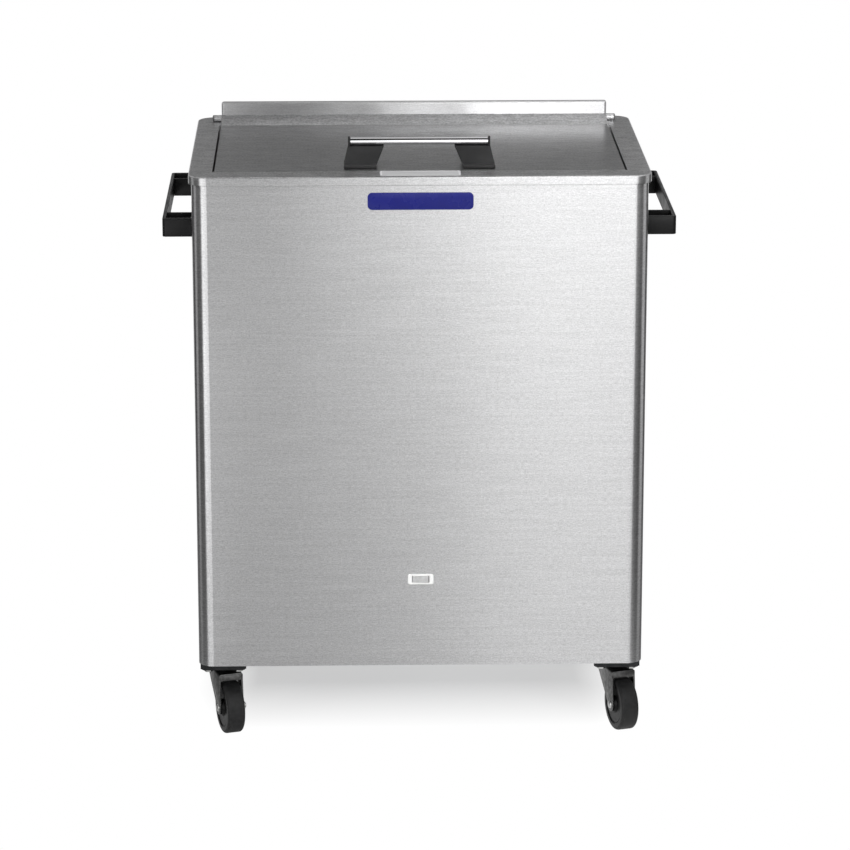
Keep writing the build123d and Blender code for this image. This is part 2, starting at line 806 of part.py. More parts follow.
with BuildPart() as refrigerant_lines:
    for tube_radius, bend, points in line_routes.values():
        with BuildLine():
            line_path = FilletPolyline(*points, radius=bend)
        with BuildSketch(Plane(origin=line_path @ 0, z_dir=line_path % 0)):
            Circle(tube_radius)
        sweep(path=line_path)

# Thermostat body behind the service panel
with BuildPart() as thermostat_body:
    with Locations((thermostat_x, dish_back, thermostat_z)):
        Box(
            thermostat_width, thermostat_depth, thermostat_height,
            align=(Align.CENTER, Align.MAX, Align.CENTER),
        )
        Cylinder(
            knob_shaft_radius + pin_running, 2 * (knob_shaft_length + fit),
            rotation=(90, 0, 0), mode=Mode.SUBTRACT,
        )

# Thermostat knob with its shaft and pointer rib
with BuildPart() as thermostat_knob:
    with BuildSketch(Plane.XZ.offset(-dish_floor - knob_gap)):
        with Locations((thermostat_x, thermostat_z)):
            Circle(knob_radius)
    extrude(amount=-knob_height)
    chamfer(thermostat_knob.faces().sort_by(Axis.Y)[-1].edges(), length=edge_bend)
    with Locations((thermostat_x, dish_floor + knob_gap + knob_height, thermostat_z + knob_radius / 2)):
        Box(edge_bend, edge_bend, knob_radius / 2, align=(Align.CENTER, Align.CENTER, Align.CENTER))
    with Locations((thermostat_x, dish_floor + knob_gap, thermostat_z)):
        Cylinder(
            knob_shaft_radius, knob_gap + panel_sheet + knob_shaft_length,
            rotation=(90, 0, 0), align=(Align.CENTER, Align.CENTER, Align.MIN),
        )

# Wiring box on the base pan
box_y = dish_back - box_gap - box_depth / 2
with BuildPart() as wiring_box:
    with BuildSketch(Plane.XY.offset(pan_top)):
        with Locations((gland_x, box_y)):
            Rectangle(box_width, box_depth)
    extrude(amount=box_height)
    with BuildSketch(Plane.XY.offset(pan_top)):
        with Locations((gland_x, box_y)):
            Rectangle(box_width - 2 * box_wall, box_depth - 2 * box_wall)
    extrude(amount=box_height - box_wall, mode=Mode.SUBTRACT)

# Cord gland: a sleeve through the service panel with a nose outside and a nut inside
with BuildPart() as cord_gland:
    with BuildSketch(Plane.XZ.offset(-dish_floor)):
        with Locations((gland_x, gland_z)):
            RegularPolygon(gland_flange_radius, 6)
    extrude(amount=-gland_nut)
    with BuildSketch(Plane.XZ.offset(-dish_floor)):
        with Locations((gland_x, gland_z)):
            Circle(gland_sleeve_radius)
    extrude(amount=-gland_nose)
    chamfer(cord_gland.faces().sort_by(Axis.Y)[-1].edges(), length=edge_bend)
    with BuildSketch(Plane.XZ.offset(-dish_floor)):
        with Locations((gland_x, gland_z)):
            Circle(gland_sleeve_radius)
    extrude(amount=panel_sheet + gland_inner)
    with BuildSketch(Plane.XZ.offset(-dish_back)):
        with Locations((gland_x, gland_z)):
            RegularPolygon(gland_flange_radius, 6)
    extrude(amount=gland_nut)
    with Locations((gland_x, dish_floor, gland_z)):
        Cylinder(gland_bore, 2 * (gland_nose + gland_inner), rotation=(90, 0, 0), mode=Mode.SUBTRACT)

# Badge plate on the front, left bare
with BuildPart() as badge_plate:
    with BuildSketch(Plane.XZ.offset(-cabinet_front)):
        with Locations((0, deck_top - badge_drop)):
            RectangleRounded(badge_width, badge_height, badge_corner)
    extrude(amount=badge_thickness)

# Label plate on the deck's front margin, left bare
with BuildPart() as deck_label:
    with BuildSketch(Plane.XY.offset(deck_top)):
        with Locations((0, deck_front + opening_front_margin / 2 + edge_bend)):
            RectangleRounded(label_width, label_depth, edge_bend)
    extrude(amount=label_thickness)

# Switch housing: bezel outside, body through the wrap, with a well for the rocker
well_half = rocker_radius + rocker_clear
with BuildPart() as switch_housing:
    with BuildSketch(Plane.XZ.offset(-cabinet_front)):
        with Locations((0, switch_height)):
            RectangleRounded(bezel_width, bezel_height, bezel_corner)
    extrude(amount=bezel_thickness)
    with BuildSketch(Plane.XZ.offset(-cabinet_front)):
        with Locations((0, switch_height)):
            Rectangle(switch_body_width, switch_body_height)
    extrude(amount=-switch_body_depth)
    fillet(switch_housing.faces().sort_by(Axis.Y)[0].edges(), radius=bezel_round)
    with BuildSketch(Plane.XZ.offset(-switch_pivot + rocker_tip + rocker_clear)):
        with Locations((0, switch_height)):
            Rectangle(2 * well_half, rocker_height + 2 * rocker_clear)
    extrude(amount=-(rocker_tip + rocker_clear + rocker_well), mode=Mode.SUBTRACT)
    with Locations((0, switch_pivot, switch_height)):
        Cylinder(
            trunnion_radius + pin_running, rocker_height + 2 * (rocker_clear + trunnion_length),
            mode=Mode.SUBTRACT,
        )

# Rocker: shallow V face and round ends about its upright trunnions, resting on one side
with BuildPart() as switch_rocker:
    with BuildSketch(Plane.XY.offset(switch_height - rocker_height / 2)):
        with Locations((0, switch_pivot)):
            Circle(rocker_radius)
        with BuildLine():
            Polyline(
                (-rocker_radius, switch_pivot - rocker_tip),
                (0, switch_pivot - rocker_valley),
                (rocker_radius, switch_pivot - rocker_tip),
                (rocker_radius, switch_pivot + rocker_back),
                (-rocker_radius, switch_pivot + rocker_back),
                close=True,
            )
        make_face(mode=Mode.INTERSECT)
    extrude(amount=rocker_height)
    with Locations((0, switch_pivot, switch_height)):
        Cylinder(trunnion_radius, rocker_height + 2 * trunnion_length)
switch_rocker.part = switch_rocker.part.rotate(Axis((0, switch_pivot, 0), (0, 0, 1)), -rocker_tilt)

# Side handles: a flat strap bent to a U at each side, its arms square to the cabinet
bracket_reach = strap_reach - strap_thickness
side_handles = {}
for name, side in (("side_handle_left", -1), ("side_handle_right", 1)):
    with BuildPart() as strap:
        with BuildSketch(Plane.XY.offset(strap_bottom)):
            with Locations((side * (cabinet_side + strap_reach / 2), (strap_start + strap_end) / 2)):
                Rectangle(strap_reach, strap_length)
        extrude(amount=strap_height)
        outer_edges = strap.edges().filter_by(Axis.Z).sort_by(Axis.X, reverse=side > 0)[:2]
        fillet(outer_edges, radius=strap_bend)
        with BuildSketch(Plane.XY.offset(strap_bottom)):
            with Locations((side * (cabinet_side + bracket_reach / 2), (strap_start + strap_end) / 2)):
                Rectangle(bracket_reach, strap_length - 2 * strap_thickness)
        extrude(amount=strap_height, mode=Mode.SUBTRACT)
    side_handles[name] = strap

# Handle brackets: a channel between each strap arm and an inner wall, screwed to the cabinet
bracket_span = bracket_inboard - strap_thickness
with BuildPart() as handle_brackets:
    with BuildSketch(Plane.XY.offset(strap_bottom)):
        for side in (-1, 1):
            for end, way in ((strap_start + strap_thickness, 1), (strap_end - strap_thickness, -1)):
                with Locations((side * (cabinet_side + bracket_sheet / 2), end + way * bracket_span / 2)):
                    Rectangle(bracket_sheet, bracket_span)
                with Locations((side * (cabinet_side + bracket_reach / 2), end + way * bracket_sheet / 2)):
                    Rectangle(bracket_reach, bracket_sheet)
                inner_wall_y = end + way * (bracket_span - bracket_inner_wall / 2)
                with Locations((side * (cabinet_side + bracket_reach / 2), inner_wall_y)):
                    Rectangle(bracket_reach, bracket_inner_wall)
    extrude(amount=strap_height)
    with Locations(*side_screws):
        Cylinder(screw_radius + screw_clear, 2 * cut_slack, mode=Mode.SUBTRACT)

# Cabinet screws
with BuildPart() as cabinet_screws:
    with Locations(*wall_screws, *leaf_screws):
        Cylinder(screw_radius, screw_length, align=(Align.CENTER, Align.CENTER, Align.MAX))
        Cylinder(screw_head_radius, screw_head, align=(Align.CENTER, Align.CENTER, Align.MIN))

# Lid skin: flat top with turned-down edges, a ramp at the rear and an upstand with returns
ramp_slope = ramp_rise / ramp_run
ramp_thick = lid_sheet * (1 + ramp_slope**2) ** 0.5
handle_foot_x = foot_inner + foot_width / 2
handle_screws = [
    Location((side * handle_foot_x + dx, deck_front + handle_screw_back, deck_top - lid_sheet), (180, 0, 0))
    for side in (-1, 1)
    for dx in (-handle_screw_pitch / 2, handle_screw_pitch / 2)
]
with BuildPart() as lid_skin:
    with BuildSketch(Plane.XY.offset(deck_top)):
        with Locations((0, lid_mid)):
            Rectangle(lid_width, lid_depth)
    extrude(amount=-lid_edge)
    with BuildSketch(Plane.XY.offset(deck_top - lid_sheet)):
        with Locations((0, lid_mid)):
            Rectangle(lid_width - 2 * lid_sheet, lid_depth - 2 * lid_sheet)
    extrude(amount=-lid_edge, mode=Mode.SUBTRACT)
    with BuildSketch(Plane.YZ):
        with BuildLine():
            Polyline(
                (lid_rear - lid_sheet, deck_top),
                (lid_rear, deck_top),
                (upstand_front, deck_top + ramp_rise),
                (upstand_front, upstand_top),
                (upstand_front + lid_sheet, upstand_top),
                (upstand_front + lid_sheet, deck_top + ramp_rise + lid_sheet * ramp_slope - ramp_thick),
                (lid_rear, deck_top - ramp_thick),
                (lid_rear - lid_sheet, deck_top - ramp_thick),
                close=True,
            )
        make_face()
    extrude(amount=lid_width / 2, both=True)
    with Locations((0, upstand_front, upstand_top)):
        Box(lid_width, upstand_return, lid_sheet, align=(Align.CENTER, Align.MIN, Align.MAX))
    for side in (-1, 1):
        with Locations((side * (lid_width - lid_sheet) / 2, upstand_front, deck_top + upstand_end_start)):
            Box(
                lid_sheet, upstand_return, upstand_height - upstand_end_start,
                align=(Align.CENTER, Align.MIN, Align.MIN),
            )
    rim = lid_skin.faces().filter_by(Axis.Y).sort_by(Axis.Y)
    rim_face = [f for f in rim if abs(f.center().Y - upstand_front) < fit][0]
    fillet(rim_face.edges().sort_by(Axis.Z)[1:], radius=upstand_bend)
    with Locations(*handle_screws):
        Cylinder(handle_screw_radius + screw_clear, 2 * cut_slack, mode=Mode.SUBTRACT)

# Lid inner pan closes the skin from below
with BuildPart() as lid_inner_pan:
    with BuildSketch(Plane.XY.offset(lid_bottom)):
        with Locations((0, lid_mid)):
            Rectangle(lid_width, lid_depth)
    extrude(amount=lid_pan_sheet)
    with BuildSketch(Plane.XY.offset(lid_skin_bottom)):
        with Locations((0, lid_mid)):
            Rectangle(lid_width - 2 * (lid_sheet + fit), lid_depth - 2 * (lid_sheet + fit))
            Rectangle(
                lid_width - 2 * (lid_sheet + fit + lid_pan_sheet),
                lid_depth - 2 * (lid_sheet + fit + lid_pan_sheet),
                mode=Mode.SUBTRACT,
            )
    extrude(amount=lid_pan_rim)

# Foam core of the lid, relieved round the handle screws
foam_edge = lid_sheet + lid_pan_sheet + 2 * fit
with BuildPart() as lid_foam:
    with BuildSketch(Plane.XY.offset(lid_skin_bottom)):
        with Locations((0, lid_mid)):
            Rectangle(lid_width - 2 * foam_edge, lid_depth - 2 * foam_edge)
    extrude(amount=lid_edge - lid_sheet - 2 * fit)
    with Locations(*handle_screws):
        Cylinder(
            handle_screw_head_radius + fit, handle_screw_head + fit,
            align=(Align.CENTER, Align.CENTER, Align.MIN), mode=Mode.SUBTRACT,
        )

# Lid gasket, just clear of the ledge
gasket_inner_x = tank_width + ledge_width - gasket_width
gasket_inner_y = tank_depth + ledge_width - gasket_width
gasket_room = opening_depth / 2 - (lid_rear - opening_mid)
with BuildPart() as lid_gasket:
    with BuildSketch(Plane.XY.offset(lid_bottom)):
        with Locations((0, opening_mid - gasket_room / 2)):
            Rectangle(gasket_inner_x + 2 * gasket_width, gasket_inner_y + 2 * gasket_width)
            Rectangle(gasket_inner_x, gasket_inner_y, mode=Mode.SUBTRACT)
    extrude(amount=-(lid_bottom - ledge_top - fit))

# Hinge knuckles alternate along one pin; the end knuckles belong to the fixed leaf
knuckle_pitch = barrel_length / knuckle_count
knuckle_places = [knuckle_pitch * (step - (knuckle_count - 1) / 2) for step in range(knuckle_count)]
knuckle_length = knuckle_pitch - knuckle_gap
moving_knuckle_radius = barrel_radius - fit
notch = barrel_radius + knuckle_gap
with BuildPart() as hinge_fixed_leaf:
    with BuildSketch(Plane.XY.offset(deck_top)):
        with Locations((0, hinge_y + notch)):
            Rectangle(barrel_length - knuckle_gap, fixed_leaf_reach - notch, align=(Align.CENTER, Align.MIN))
        with Locations(*[(x, hinge_y) for x in knuckle_places[::2]]):
            Rectangle(knuckle_length, notch, align=(Align.CENTER, Align.MIN))
    extrude(amount=leaf_sheet)
    with Locations(*[(x, hinge_y, hinge_z) for x in knuckle_places[::2]]):
        Cylinder(barrel_radius, knuckle_length, rotation=(0, 90, 0))
        Cylinder(pin_radius + pin_seat, knuckle_length, rotation=(0, 90, 0), mode=Mode.SUBTRACT)
    with Locations(*leaf_screws):
        Cylinder(screw_radius + screw_clear, 2 * cut_slack, mode=Mode.SUBTRACT)

moving_width = lid_width - 2 * (lid_sheet + fit)
leaf_front = upstand_front + lid_sheet
with BuildPart() as hinge_moving_leaf:
    with BuildSketch(Plane.XZ.offset(-leaf_front)):
        with Locations((0, hinge_z + notch)):
            Rectangle(moving_width, moving_leaf_height - notch, align=(Align.CENTER, Align.MIN))
        with Locations(*[(x, hinge_z) for x in knuckle_places[1::2]]):
            Rectangle(knuckle_length, notch, align=(Align.CENTER, Align.MIN))
    extrude(amount=-leaf_sheet)
    with Locations(*[(x, hinge_y, hinge_z) for x in knuckle_places[1::2]]):
        Cylinder(moving_knuckle_radius, knuckle_length, rotation=(0, 90, 0))
        Cylinder(pin_radius + pin_running, knuckle_length, rotation=(0, 90, 0), mode=Mode.SUBTRACT)

# Hinge pin with a domed head at each end
with BuildPart() as hinge_pin:
    with Locations((0, hinge_y, hinge_z)):
        Cylinder(pin_radius, barrel_length, rotation=(0, 90, 0))
    for side in (-1, 1):
        with Locations((side * (barrel_length + pin_head) / 2, hinge_y, hinge_z)):
            Cylinder(barrel_radius, pin_head, rotation=(0, 90, 0))
    fillet(hinge_pin.faces().filter_by(Axis.X).sort_by(Axis.X)[0].edges(), radius=pin_dome)
    fillet(hinge_pin.faces().filter_by(Axis.X).sort_by(Axis.X)[-1].edges(), radius=pin_dome)

# Lid handle legs: a foot, a leg leaning back to the bar, and an ear at the bar's end
leg_top = bar_rise - bar_radius - bar_seat
leg_base_depth = leg_back - leg_front
leg_top_depth = leg_top_back - leg_top_front
leg_top_width = bar_length / 2 + ear_thickness - leg_top_inner
with BuildPart() as lid_handle_legs:
    for side in (-1, 1):
        with BuildSketch(Plane.XY.offset(deck_top)):
            with Locations((side * handle_foot_x, deck_front + foot_front + foot_depth / 2)):
                RectangleRounded(foot_width, foot_depth, edge_bend)
        extrude(amount=foot_height)
        with BuildSketch(Plane.XY.offset(deck_top + foot_height)):
            with Locations((side * handle_foot_x, deck_front + leg_front + leg_base_depth / 2)):
                Rectangle(foot_width, leg_base_depth)
        with BuildSketch(Plane.XY.offset(deck_top + leg_top)):
            with Locations(
                (side * (leg_top_inner + leg_top_width / 2), deck_front + leg_top_front + leg_top_depth / 2)
            ):
                Rectangle(leg_top_width, leg_top_depth)
        loft(ruled=True)
        with BuildSketch(Plane.YZ.offset(side * bar_length / 2)):
            with Locations((bar_y, bar_z)):
                Circle(ear_radius)
            with Locations((bar_y, deck_top + leg_top)):
                Rectangle(leg_top_depth, bar_radius, align=(Align.CENTER, Align.MIN))
        extrude(amount=side * ear_thickness)
    with Locations(*handle_screws):
        Cylinder(
            handle_screw_radius + screw_clear, handle_screw_length + fit,
            align=(Align.CENTER, Align.CENTER, Align.MAX), mode=Mode.SUBTRACT,
        )

# Chrome bar between the ears
with BuildPart() as lid_handle_bar:
    with Locations((0, bar_y, bar_z)):
        Cylinder(bar_radius, bar_length, rotation=(0, 90, 0))

# Screws that hold the handle from inside the lid
with BuildPart() as lid_handle_screws:
    with Locations(*handle_screws):
        Cylinder(handle_screw_radius, handle_screw_length, align=(Align.CENTER, Align.CENTER, Align.MAX))
        Cylinder(handle_screw_head_radius, handle_screw_head, align=(Align.CENTER, Align.CENTER, Align.MIN))

# Wire rack that lies on the tank floor
rack_width = tank_width - 2 * rack_clear
rack_depth = tank_depth - 2 * rack_clear
with BuildPart() as floor_rack:
    with Locations((0, opening_mid, tank_floor + fit)):
        Box(rack_width, rack_depth, 2 * rack_wire, align=(Align.CENTER, Align.CENTER, Align.MIN))
        Box(
            rack_width - 4 * rack_wire, rack_depth - 4 * rack_wire, 3 * rack_wire,
            align=(Align.CENTER, Align.CENTER, Align.MIN), mode=Mode.SUBTRACT,
        )
    upright_edges = floor_rack.edges().filter_by(Axis.Z)
    outer_corners = upright_edges.filter_by(lambda e: abs(e.center().X) > rack_width / 2 - fit)
    fillet(outer_corners, radius=tank_corner / 2)
    with Locations((0, opening_mid, tank_floor + fit + rack_wire)):
        with GridLocations(rack_width / rack_bars, 0, rack_bars - 1, 1):
            Cylinder(rack_wire, rack_depth - 2 * rack_wire, rotation=(90, 0, 0))

# Casters: plate with race and kingpin, yoke, axle bolt and wheel, one set at each corner
inner_yoke = yoke_width - 2 * yoke_sheet
caster_names = ("front_left", "front_right", "rear_left", "rear_right")
casters = {}
for (swivel_x, swivel_y), corner in zip(caster_spots, caster_names):
    with BuildPart() as plate:
        with BuildSketch(Plane.XY.offset(rail_bottom)):
            with Locations((swivel_x, swivel_y)):
                RectangleRounded(plate_width, plate_depth, plate_corner)
                with GridLocations(bolt_pitch_x, bolt_pitch_y, 2, 2):
                    Circle(bolt_radius + bolt_clear, mode=Mode.SUBTRACT)
        extrude(amount=-plate_sheet)
        with BuildSketch(Plane.XY.offset(yoke_top + fit)):
            with Locations((swivel_x, swivel_y)):
                Circle(race_radius)
        with BuildSketch(Plane.XY.offset(rail_bottom - plate_sheet)):
            with Locations((swivel_x, swivel_y)):
                Circle(race_top_radius)
        loft()
        with BuildSketch(Plane.XY.offset(yoke_top + fit)):
            with Locations((swivel_x, swivel_y)):
                Circle(kingpin_radius)
        extrude(amount=-(yoke_sheet + 2 * fit))
        with BuildSketch(Plane.XY.offset(crown_under - fit)):
            with Locations((swivel_x, swivel_y)):
                Circle(kingpin_head_radius)
        extrude(amount=-kingpin_head)
    casters[f"caster_plate_{corner}"] = plate

    swivel_plane = Plane(
        origin=(swivel_x, swivel_y, 0),
        x_dir=(cos(radians(caster_yaw)), sin(radians(caster_yaw)), 0),
        z_dir=(0, 0, 1),
    )
    side_plane = Plane(origin=swivel_plane.origin, x_dir=-swivel_plane.y_dir, z_dir=-swivel_plane.x_dir)
    with BuildPart() as yoke:
        with BuildSketch(side_plane):
            with BuildLine():
                Polyline(
                    (-yoke_lead, yoke_top),
                    (yoke_tail, yoke_top),
                    (yoke_tail, yoke_top - yoke_crown_drop),
                    (caster_trail + axle_boss, wheel_radius),
                    (caster_trail - axle_boss, wheel_radius),
                    (-yoke_lead, yoke_top - yoke_crown_drop),
                    close=True,
                )
            make_face()
            with Locations((caster_trail, wheel_radius)):
                Circle(axle_boss)
        extrude(amount=yoke_width / 2, both=True)
        crown_edges = yoke.edges().filter_by(Axis((0, 0, 0), swivel_plane.y_dir)).group_by(Axis.Z)[-1]
        fillet(crown_edges, radius=yoke_bend)
        with BuildSketch(side_plane):
            with Locations((0, crown_under)):
                Rectangle(2 * (caster_trail + wheel_radius), yoke_top, align=(Align.CENTER, Align.MAX))
        extrude(amount=inner_yoke / 2, both=True, mode=Mode.SUBTRACT)
        with BuildSketch(Plane.XY.offset(yoke_top)):
            with Locations((swivel_x, swivel_y)):
                Circle(kingpin_radius + kingpin_running)
        extrude(amount=-yoke_sheet, mode=Mode.SUBTRACT)
        with BuildSketch(side_plane):
            with Locations((caster_trail, wheel_radius)):
                Circle(axle_radius + bolt_clear)
        extrude(amount=yoke_width / 2, both=True, mode=Mode.SUBTRACT)
    casters[f"caster_yoke_{corner}"] = yoke

    with BuildPart() as axle:
        with BuildSketch(side_plane):
            with Locations((caster_trail, wheel_radius)):
                Circle(axle_radius)
        extrude(amount=yoke_width / 2, both=True)
        for side in (-1, 1):
            with BuildSketch(side_plane.offset(side * yoke_width / 2)):
                with Locations((caster_trail, wheel_radius)):
                    RegularPolygon(hex_across / 2, 6, major_radius=False)
            extrude(amount=side * hex_height)
    casters[f"caster_axle_{corner}"] = axle

    with BuildPart() as wheel:
        with BuildSketch(side_plane):
            with Locations((caster_trail, wheel_radius)):
                Circle(wheel_radius)
        extrude(amount=wheel_width / 2, both=True)
        fillet(wheel.edges().filter_by(GeomType.CIRCLE), radius=tread_round)
        with BuildSketch(side_plane):
            with Locations((caster_trail, wheel_radius)):
                Circle(hub_radius)
        extrude(amount=hub_width / 2, both=True)
        with BuildSketch(side_plane):
            with Locations((caster_trail, wheel_radius)):
                Circle(axle_radius + axle_running)
        extrude(amount=hub_width, both=True, mode=Mode.SUBTRACT)
    casters[f"caster_wheel_{corner}"] = wheel

# Hex bolts that hold the caster plates to the rails
with BuildPart() as caster_bolts:
    with BuildSketch(Plane.XY.offset(rail_bottom - plate_sheet)):
        with Locations(*caster_spots):
            with GridLocations(bolt_pitch_x, bolt_pitch_y, 2, 2):
                Circle(bolt_radius)
    extrude(amount=bolt_length)
    with BuildSketch(Plane.XY.offset(rail_bottom - plate_sheet)):
        with Locations(*caster_spots):
            with GridLocations(bolt_pitch_x, bolt_pitch_y, 2, 2):
                RegularPolygon(bolt_hex / 2, 6, major_radius=False)
    extrude(amount=-bolt_head)

# Every piece under its own name
pieces = {
    "outer_wrap": outer_wrap,
    "base_pan": base_pan,
    "caster_rails": caster_rails,
    "top_deck": top_deck,
    "inner_tank": inner_tank,
    "breaker_strip": breaker_strip,
    "evaporator_coil": evaporator_coil,
    "foam_insulation": foam_insulation,
    "divider_panel": divider_panel,
    "rear_panel": rear_panel,
    "service_panel": service_panel,
    "compressor": compressor,
    "compressor_feet": compressor_feet,
    "condenser": condenser,
    "fan_shroud": fan_shroud,
    "fan_blade": fan_blade,
    "fan_motor": fan_motor,
    "filter_drier": filter_drier,
    "refrigerant_lines": refrigerant_lines,
    "thermostat_body": thermostat_body,
    "thermostat_knob": thermostat_knob,
    "wiring_box": wiring_box,
    "cord_gland": cord_gland,
    "badge_plate": badge_plate,
    "deck_label": deck_label,
    "switch_housing": switch_housing,
    "switch_rocker": switch_rocker,
    **side_handles,
    "handle_brackets": handle_brackets,
    "cabinet_screws": cabinet_screws,
    "lid_skin": lid_skin,
    "lid_inner_pan": lid_inner_pan,
    "lid_foam": lid_foam,
    "lid_gasket": lid_gasket,
    "hinge_fixed_leaf": hinge_fixed_leaf,
    "hinge_moving_leaf": hinge_moving_leaf,
    "hinge_pin": hinge_pin,
    "lid_handle_legs": lid_handle_legs,
    "lid_handle_bar": lid_handle_bar,
    "lid_handle_screws": lid_handle_screws,
    "floor_rack": floor_rack,
    **casters,
    "caster_bolts": caster_bolts,
}
for name, piece in pieces.items():
    piece.part.label = name
    export_step(piece.part, f"parts/{name}.step")
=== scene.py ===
import math

import bmesh
import bpy
from mathutils import Matrix, Vector


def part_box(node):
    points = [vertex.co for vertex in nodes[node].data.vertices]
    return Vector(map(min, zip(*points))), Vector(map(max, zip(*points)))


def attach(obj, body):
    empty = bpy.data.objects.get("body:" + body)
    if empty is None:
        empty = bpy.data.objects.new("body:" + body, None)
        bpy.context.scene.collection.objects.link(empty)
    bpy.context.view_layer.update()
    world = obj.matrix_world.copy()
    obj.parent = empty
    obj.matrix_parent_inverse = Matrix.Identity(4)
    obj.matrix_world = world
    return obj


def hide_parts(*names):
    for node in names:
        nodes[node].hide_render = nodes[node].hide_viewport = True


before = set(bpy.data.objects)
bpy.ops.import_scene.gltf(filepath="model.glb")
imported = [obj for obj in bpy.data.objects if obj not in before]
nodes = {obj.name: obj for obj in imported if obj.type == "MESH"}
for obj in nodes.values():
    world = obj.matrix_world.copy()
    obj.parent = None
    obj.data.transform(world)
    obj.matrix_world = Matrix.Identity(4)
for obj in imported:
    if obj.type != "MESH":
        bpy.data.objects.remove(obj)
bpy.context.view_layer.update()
corners = ("front_left", "front_right", "rear_left", "rear_right")
print("frame loaded:", len(nodes), "nodes")


# Small helpers for node materials

def newFinish(name):
    finish = bpy.data.materials.new(name)
    finish.use_nodes = True
    return finish, finish.node_tree, finish.node_tree.nodes["Principled BSDF"]


def addNode(tree, kind, **settings):
    node = tree.nodes.new(kind)
    for key, value in settings.items():
        setattr(node, key, value)
    return node


def cloud(tree, size, detail, roughness=0.55):
    # noise whose cells are size long in x, y and z, in metres
    place = addNode(tree, "ShaderNodeTexCoord")
    mapping = addNode(tree, "ShaderNodeMapping")
    mapping.inputs["Scale"].default_value = [1 / length for length in size]
    noise = addNode(tree, "ShaderNodeTexNoise")
    noise.inputs["Scale"].default_value = 1.0
    noise.inputs["Detail"].default_value = detail
    noise.inputs["Roughness"].default_value = roughness
    tree.links.new(place.outputs["Object"], mapping.inputs["Vector"])
    tree.links.new(mapping.outputs["Vector"], noise.inputs["Vector"])
    return noise.outputs["Fac"]


def spread(tree, value, low, high, fromLow=0.3, fromHigh=0.7):
    # most noise falls between 0.3 and 0.7
    node = addNode(tree, "ShaderNodeMapRange")
    node.inputs["From Min"].default_value = fromLow
    node.inputs["From Max"].default_value = fromHigh
    node.inputs["To Min"].default_value = low
    node.inputs["To Max"].default_value = high
    tree.links.new(value, node.inputs["Value"])
    return node.outputs["Result"]


def blendColours(tree, value, first, second):
    node = addNode(tree, "ShaderNodeMix", data_type="RGBA")
    tree.links.new(value, node.inputs["Factor"])
    for socket, colour in ((node.inputs["A"], first), (node.inputs["B"], second)):
        if hasattr(colour, "default_value"):
            tree.links.new(colour, socket)
        else:
            socket.default_value = (*colour, 1)
    return node.outputs["Result"]


def combine(tree, operation, first, second):
    node = addNode(tree, "ShaderNodeMath", operation=operation)
    for socket, value in zip(node.inputs, (first, second)):
        if hasattr(value, "default_value"):
            tree.links.new(value, socket)
        else:
            socket.default_value = value
    return node.outputs["Value"]


def mixNoise(tree, first, second, share):
    return combine(
        tree, "ADD", combine(tree, "MULTIPLY", first, share), combine(tree, "MULTIPLY", second, 1 - share),
    )


def bumpFrom(tree, shader, height, strength, distance):
    bump = addNode(tree, "ShaderNodeBump")
    bump.inputs["Strength"].default_value = strength
    bump.inputs["Distance"].default_value = distance
    tree.links.new(height, bump.inputs["Height"])
    tree.links.new(bump.outputs["Normal"], shader.inputs["Normal"])


def acrossGrain(tree, shader):
    # highlights stretch up and down a wall, and front to back on a flat top
    across = addNode(tree, "ShaderNodeCombineXYZ")
    across.inputs["Y"].default_value = 0.05  # small, so that it counts on flat tops alone
    across.inputs["Z"].default_value = 1.0
    tree.links.new(across.outputs["Vector"], shader.inputs["Tangent"])


# Brushed sheet steel. Grain gives the length of a scratch and its two widths, band the same for a broad
# streak, speck the size of the finest fleck, smudge that of the large soft patches
steelLooks = {
    "wallSteel": {
        "colour": (0.715, 0.715, 0.72), "worn": (0.475, 0.475, 0.48), "grain": (0.007, 0.007, 0.0009),
        "band": (0.08, 0.08, 0.003), "speck": (0.0022, 0.0022, 0.0014), "rough": (0.300, 0.335),
        "anisotropy": 0.98, "bump": 0.006,
    },
    "deckSteel": {
        "colour": (0.90, 0.90, 0.905), "worn": (0.48, 0.48, 0.485), "grain": (0.014, 0.0032, 0.0012),
        "band": (0.10, 0.02, 0.004), "speck": (0.0030, 0.0040, 0.0016), "rough": (0.285, 0.320),
        "anisotropy": 0.5, "bump": 0.006,
    },
    # painted light: a lighter copy of the lid's steel, with less wear contrast, for the upstand that reads
    # brighter
    "foldSteel": {
        "colour": (0.80, 0.80, 0.805), "worn": (0.64, 0.64, 0.645), "grain": (0.007, 0.007, 0.0009),
        "band": (0.08, 0.08, 0.003), "speck": (0.0022, 0.0022, 0.0014), "rough": (0.285, 0.310),
        "anisotropy": 0.95, "bump": 0.006,
    },
    "lidSteel": {
        "colour": (0.69, 0.69, 0.695), "worn": (0.395, 0.395, 0.40), "grain": (0.014, 0.0032, 0.0012),
        "band": (0.10, 0.02, 0.004), "speck": (0.0030, 0.0040, 0.0016), "rough": (0.285, 0.310),
        "anisotropy": 0.25, "bump": 0.006,
    },
    "tankSteel": {
        "colour": (0.70, 0.70, 0.705), "worn": (0.64, 0.64, 0.645), "grain": (0.008, 0.008, 0.0010),
        "band": (0.06, 0.06, 0.004), "speck": (0.0025, 0.0025, 0.0016), "rough": (0.360, 0.400),
        "anisotropy": 0.3, "bump": 0.006,
    },
}
steelMix = {
    "grainShare": 0.7, "streakShare": 0.6, "tintRange": (0.38, 0.62), "relief": 0.0002,
    "smudge": (0.11, 0.11, 0.09), "smudgeRough": (-0.01, 0.02),
}


